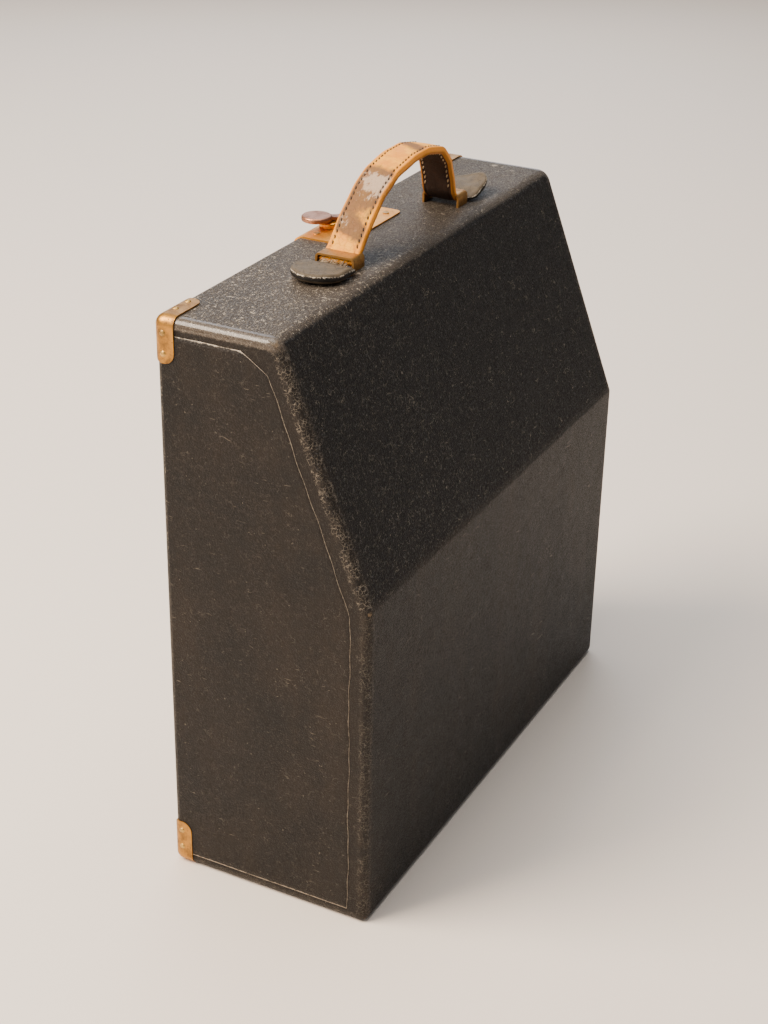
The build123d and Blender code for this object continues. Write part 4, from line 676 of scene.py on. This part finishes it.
strap = {
    "halfWidth": 10.0 * mm, "thickness": 4.2 * mm, "endThickness": 2.4 * mm, "corner": 1.1 * mm,
    "stitchIn": 2.7 * mm, "groove": 0.3 * mm, "grooveWidth": 0.75 * mm, "pitch": 3.4 * mm,
    "stitchLength": 2.3 * mm, "stitchRadius": 0.46 * mm, "blendHalf": 16 * mm, "crownRise": 42 * mm,
    # the middle line in mm: place along the case, height above its top
    "line": ((-60, 3.6), (-54, 4.4), (-49, 8.0), (-38, 19.6), (-23, 31.6), (-8, 38.6), (12, 42.0),
             (30, 42.2), (48, 38.2), (57, 29.5), (61.5, 18), (63.5, 9.5), (68, 4.6), (75, 3.6)),
    # worn places: where along the strap, half its length, how worn, and how it leans across
    "wear": ((0.335, 0.055, 1.05, 0.01), (0.25, 0.07, 0.85, -0.02), (0.135, 0.04, 0.9, 0.02),
             (0.60, 0.04, 0.75, 0.03)),
}
handleY = float(np.mean([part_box("handle_strap_left")[k][1] for k in (0, 1)]))


def strapFrame(count):
    # middle line of the strap in the X-Z plane with its tangent, its upward normal and its distance along
    flat = smoothPath(np.array(strap["line"]) * mm, count, passes=max(4, count // 24))
    tangent = np.gradient(flat, axis=0)
    tangent = tangent / np.linalg.norm(tangent, axis=1, keepdims=True)
    normal = np.stack([-tangent[:, 1], tangent[:, 0]], axis=1)
    run = np.concatenate([[0], np.cumsum(np.linalg.norm(np.diff(flat, axis=0), axis=1))])
    return flat, tangent, normal, run


def makeStrap():
    # a rounded-rectangle section carried along the middle line; both faces dip where the stitches pull in
    flat, _, normal, run = strapFrame(220)
    half, c = strap["halfWidth"], strap["corner"]
    quarter = np.linspace(0, np.pi / 2, 6)
    sweep = np.linspace(-1, 1, 41)[1:-1]
    offsets = []
    # going round: right side up, along the top to the left, left side down, along the underside
    for turn, sideY, sideZ in ((0, 1, 1), (1, -1, 1), (2, -1, -1), (3, 1, -1)):
        angle = quarter + turn * np.pi / 2
        cornerY = sideY * (half - c) + c * np.cos(angle)
        offsets.append(np.stack([cornerY, sideZ * np.ones(len(quarter)), c * np.sin(angle)], 1))
        if turn in (0, 2):
            faceY = -sideZ * (half - c) * sweep
            offsets.append(np.stack([faceY, np.full(len(sweep), sideZ), np.full(len(sweep), sideZ * c)], 1))
    section = np.concatenate(offsets)
    acrossY, face, rise = section[:, 0], section[:, 1], section[:, 2]
    tight = np.clip(np.minimum(run, run[-1] - run) / (14 * mm), 0, 1)
    thick = strap["endThickness"] + (strap["thickness"] - strap["endThickness"]) * tight
    fromRow = (abs(acrossY) - (half - strap["stitchIn"])) / strap["grooveWidth"]
    dip = np.exp(-(fromRow**2)) * strap["groove"]
    crown = 0.25 * mm * np.clip(1 - (acrossY / half) ** 2, 0, 1)
    body = face[None] * (thick[:, None] / 2 - c) + rise[None] + face[None] * (crown - dip)[None]
    lumps = 1 + 0.012 * np.sin(run * 260) + 0.01 * np.sin(run * 97 + 1)
    across = acrossY[None] * lumps[:, None]
    x, z = flat[:, 0:1] + normal[:, 0:1] * body, flat[:, 1:2] + normal[:, 1:2] * body
    points = np.stack([x, handleY + across, caseTop + z], axis=2)
    # each end closes on its middle point
    sides = len(section)
    ends = [np.repeat(row.mean(axis=1, keepdims=True), sides, axis=1) for row in (points[:1], points[-1:])]
    points = np.concatenate([ends[0], points, ends[1]])
    at = np.concatenate([run[:1], run, run[-1:]])
    share = at / run[-1]
    ones = np.ones_like(points[..., 0])
    outside = ones * np.where(face > 0, 1.0, 0.0)[None]
    cut = ones * np.where(abs(acrossY) > half - 1.35 * mm, 1.0, 0.0)[None]
    patch = np.zeros_like(points[..., 0])
    towardsMiddle = 1 - 0.3 * (abs(acrossY) / half)[None] ** 4
    for middle, width, amount, lean in strap["wear"]:
        shift = share[:, None] - middle - lean * (acrossY / half)[None]
        patch = patch + amount * np.exp(-((shift / width) ** 2)) * towardsMiddle
    values = {"across": ones * (acrossY / half)[None], "outside": outside, "cut": cut, "wear": patch}
    quads = gridQuads(len(at), len(section), closeColumns=True)
    return makePiece("handle_strap", points, quads, "strap_leather", "",
                     ("handle_strap_left", "handle_strap_right"), values, fineWeld)


def makeStitches(name, face, finish):
    # short round-ended threads in two rows, each laid in the groove between two holes
    flat, tangent, _, run = strapFrame(900)
    count = int((run[-1] - 26 * mm) / strap["pitch"])
    at = 13 * mm + np.arange(count) * strap["pitch"]
    place = np.stack([np.interp(at, run, flat[:, k]) for k in (0, 1)], 1)
    along = np.stack([np.interp(at, run, tangent[:, k]) for k in (0, 1)], 1)
    up = np.stack([-along[:, 1], along[:, 0]], 1)
    u = np.linspace(-1, 1, 7)[:, None]
    v = np.linspace(0, 2 * np.pi, 7)[None, :-1]
    bow = 1 - u**2
    girth = np.sqrt(np.clip(bow, 0.0, 1)) ** 0.7 * strap["stitchRadius"]
    lengthwise = u * strap["stitchLength"] / 2 + 0 * v
    local = np.stack([lengthwise, girth * np.cos(v), girth * np.sin(v) + bow * 0.12 * mm], axis=2)
    local = local.reshape(-1, 3)
    height = face * (strap["thickness"] / 2 - 0.02 * mm)
    sets = []
    single = gridQuads(7, 6, closeColumns=True)
    for side in (-1, 1):
        y = handleY + side * (strap["halfWidth"] - strap["stitchIn"]) + rng.normal(0, 0.1 * mm, count)
        slant = rng.normal(0.30, 0.06, count)
        out = face * local[None, :, 2] + height
        px = place[:, None, 0] + along[:, None, 0] * local[None, :, 0] + up[:, None, 0] * out
        pz = place[:, None, 1] + along[:, None, 1] * local[None, :, 0] + up[:, None, 1] * out
        py = y[:, None] + local[None, :, 1] + slant[:, None] * local[None, :, 0]
        sets.append(np.stack([px, py, caseTop + pz], axis=2).reshape(-1, 3))
    starts = np.arange(2 * count) * len(local)
    quads = (single[None] + starts[:, None, None]).reshape(-1, 4)
    return makePiece(name, np.concatenate(sets), quads, finish, "", weld=fineWeld)


strapParts = [
    makeStrap(),
    makeStitches("strap_stitches_outer", 1, "thread_dark"),
    makeStitches("strap_stitches_inner", -1, "thread_pale"),
]
for part in strapParts:
    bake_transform(part)


tab = {
    "thickness": 5.2 * mm, "length": 29.5 * mm, "sink": 3.0 * mm, "curlFrom": 0.25,
    "lift": {"left": 1.0 * mm, "right": 1.2 * mm}, "curl": {"left": 0.7 * mm, "right": 5.6 * mm},
    "curlWay": {"left": (1.0, 0.0), "right": (0.72, -0.69)}, "scuffed": {"left": 0.0, "right": 0.9},
}


def makeTab(side, node):
    # a D-shaped pad: rings shrink from its outline to its middle, over the top and back under it
    low, high = [np.array(v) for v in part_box(node)]
    middleY = (low[1] + high[1]) / 2
    half = (high[1] - low[1]) / 2
    outer = high[0] if side > 0 else low[0]
    key = "right" if side > 0 else "left"
    count = 96
    theta = np.linspace(0, 2 * np.pi, count, endpoint=False)
    ex, ey = np.cos(theta), np.sin(theta)
    # outer half is round, inner half is squared with soft corners
    bluntness = np.where(ex > 0, 1.0, 0.34)
    reachX = np.where(ex > 0, half, tab["length"] - half)
    outX = reachX * np.sign(ex) * abs(ex) ** bluntness * (1 + 0.012 * np.sin(theta * 7))
    outY = half * np.sign(ey) * abs(ey) ** bluntness * (1 + 0.012 * np.sin(theta * 5 + 1))
    shoulder = np.linspace(0, np.pi / 2, 7)[1:]
    rise = np.concatenate([np.linspace(0, 0.86, 12), 1 - 0.14 * (1 - np.sin(shoulder))])
    ring = np.concatenate([rise, rise[::-1]])
    roundness = np.sqrt(np.clip(1 - (np.clip((rise - 0.86) / 0.14, 0, 1)) ** 2, 0, 1))
    t = tab["thickness"]
    height = np.concatenate([t * (0.5 + 0.5 * roundness), t * (0.5 - 0.5 * roundness[::-1])])
    x = ring[:, None] * outX[None]
    y = ring[:, None] * outY[None]
    away = (tab["curlWay"][key][0] * x + tab["curlWay"][key][1] * y) / half
    share = np.clip((away - tab["curlFrom"]) / (1 - tab["curlFrom"]), 0, 1.1)
    z = caseTop + tab["lift"][key] + height[:, None] + tab["curl"][key] * share**1.7
    z = z + 0.25 * mm * np.sin(x * 380) * np.cos(y * 300) * np.where(height > t / 2, 1, 0)[:, None]
    # thinner beside the staple, where the leather is pinched into the loop
    z = z - tab["sink"] * np.clip((-x / half - 0.15) / 0.75, 0, 1) ** 1.5 * np.clip(height / t, 0, 1)[:, None]
    # a pressed line just inside the edge
    onTop = (np.arange(len(ring)) < len(rise))[:, None]
    z = z - 0.35 * mm * np.exp(-(((ring[:, None] - 0.80) / 0.03) ** 2)) * onTop
    worldX = outer - side * half + side * x
    points = np.stack([worldX, middleY + y, z], axis=2)
    rim = np.exp(-(((ring - 0.985) / 0.03) ** 2))[:, None] * onTop * np.ones((1, count))
    cut = np.where(abs(ring - 1) < 0.012, 1.0, 0.0)[:, None] * np.ones((1, count))
    scuffed = tab["scuffed"][key] * share
    rim, cut = np.maximum(rim, scuffed), cut * (1 - scuffed)
    quads = gridQuads(len(ring), count, closeColumns=True)
    makePiece("handle_tab_leather_" + key, points, quads, "tab_leather", "tab_" + key, (node,),
              {"rim": rim, "cut": cut}, 0.02 * mm)


makeTab(-1, "handle_tab_left")
makeTab(1, "handle_tab_right")


fray = {
    "count": 90, "length": 4.6 * mm, "radius": 0.16 * mm,
    "spread": 7.5 * mm, "low": 2.6 * mm, "high": 5.2 * mm,
}


def makeFray(side, body):
    # torn fibres at the staple's mouth: each is a thin tube that narrows to its tip and droops as it leaves
    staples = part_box("handle_staples")
    mouth = staples[0][0] if side < 0 else staples[1][0]
    n = fray["count"]
    u = np.array([0, 0.04, 0.4, 0.75, 1])[None, :, None]
    girth = np.array([0, 1, 0.85, 0.6, 0])[None, :, None]
    v = np.linspace(0, 2 * np.pi, 5)[None, None, :-1]
    # one random number per fibre, in this order
    ranges = ((-fray["spread"], fray["spread"]), (fray["low"], fray["high"]), (0.35, 1.0), (-0.5, 0.5),
              (0.1, 0.55), (0.6, 1.3))
    y0, z0, reach, lean, droop, stout = [rng.uniform(low, high, n)[:, None, None] for low, high in ranges]
    reach = reach * fray["length"]
    radius = fray["radius"] * stout * girth
    x = mouth - side * 2.5 * mm + side * (reach * u + 2.0 * mm * u) + 0 * v
    y = handleY + y0 + lean * reach * u + radius * np.cos(v)
    z = caseTop + z0 - droop * reach * u**2 + 0.4 * mm * np.sin(u * 5 + y0 * 900) + radius * np.sin(v)
    points = np.stack(np.broadcast_arrays(x, y, z), axis=-1)
    quads = (gridQuads(5, 4, closeColumns=True)[None] + 20 * np.arange(n)[:, None, None]).reshape(-1, 4)
    name = "staple_fibres_left" if side < 0 else "staple_fibres_right"
    makePiece(name, points, quads, "fibre", body, weld=fineWeld)


makeFray(-1, "tab_left")
print("handle made")


floor = {"size": 8.0, "colour": tone("f6e9dc")}


def makeFloor():
    mesh = bpy.data.meshes.new("floor")
    half = floor["size"] / 2
    corners = [(-half, -half, 0), (half, -half, 0), (half, half, 0), (-half, half, 0)]
    mesh.from_pydata(corners, [], [(0, 1, 2, 3)])
    plane = bpy.data.objects.new("floor", mesh)
    bpy.context.scene.collection.objects.link(plane)
    r = Recipe("floor_paint")
    cloud = r.noise(0.4, 3.0)
    colour = r.mix(cloud * 0.4, floor["colour"], tone("e8e1d9"))
    mesh.materials.append(r.done(Base_Color=colour, Roughness=0.55 + cloud * 0.1))


studio = {
    "eye": (-0.875, -0.430, 0.660), "look": (0.794, 0.405, -0.454), "up": (0.396, 0.223, 0.891), "lens": 65.4,
    "world": (tone("d3d5da"), 0.31),
    # place, target, size, strength, colour
    "lights": {
        "window": ((-1.15, 1.25, 1.95), (0.0, 0.0, 0.25), 1.3, 138.0, tone("ffedd8")),
        "overhead": ((0.1, 0.2, 2.6), (0.0, 0.0, 0.0), 1.8, 52.0, tone("fffaf4")),
        "wall": ((1.7, 1.0, 1.15), (0.0, 0.0, 0.3), 1.5, 16.0, tone("dfe8f4")),
        "fill": ((-2.1, 0.35, 0.8), (0.0, 0.0, 0.15), 1.4, 12.0, tone("fff0e2")),
    },
}


def makeStudio():
    world = bpy.data.worlds.new("studio")
    bpy.context.scene.world = world
    world.use_nodes = True
    sky = world.node_tree.nodes["Background"]
    skyColour, skyStrength = studio["world"]
    sky.inputs["Color"].default_value = skyColour
    sky.inputs["Strength"].default_value = skyStrength
    for name, (place, target, size, power, colour) in studio["lights"].items():
        lamp = bpy.data.lights.new(name, "AREA")
        lamp.size, lamp.energy, lamp.color = size, power, colour[:3]
        holder = bpy.data.objects.new(name, lamp)
        holder.location = place
        holder.rotation_euler = (Vector(target) - Vector(place)).to_track_quat("-Z", "Y").to_euler()
        bpy.context.scene.collection.objects.link(holder)
    camera = bpy.data.objects.new("camera", bpy.data.cameras.new("camera"))
    camera.data.lens = studio["lens"]
    look = Vector(studio["look"]).normalized()
    right = look.cross(Vector(studio["up"])).normalized()
    up = right.cross(look)
    turn = Matrix((right, up, -look)).transposed().to_4x4()
    camera.matrix_world = Matrix.Translation(studio["eye"]) @ turn
    bpy.context.scene.collection.objects.link(camera)
    bpy.context.scene.camera = camera


makeFloor()
makeStudio()
print("studio set")
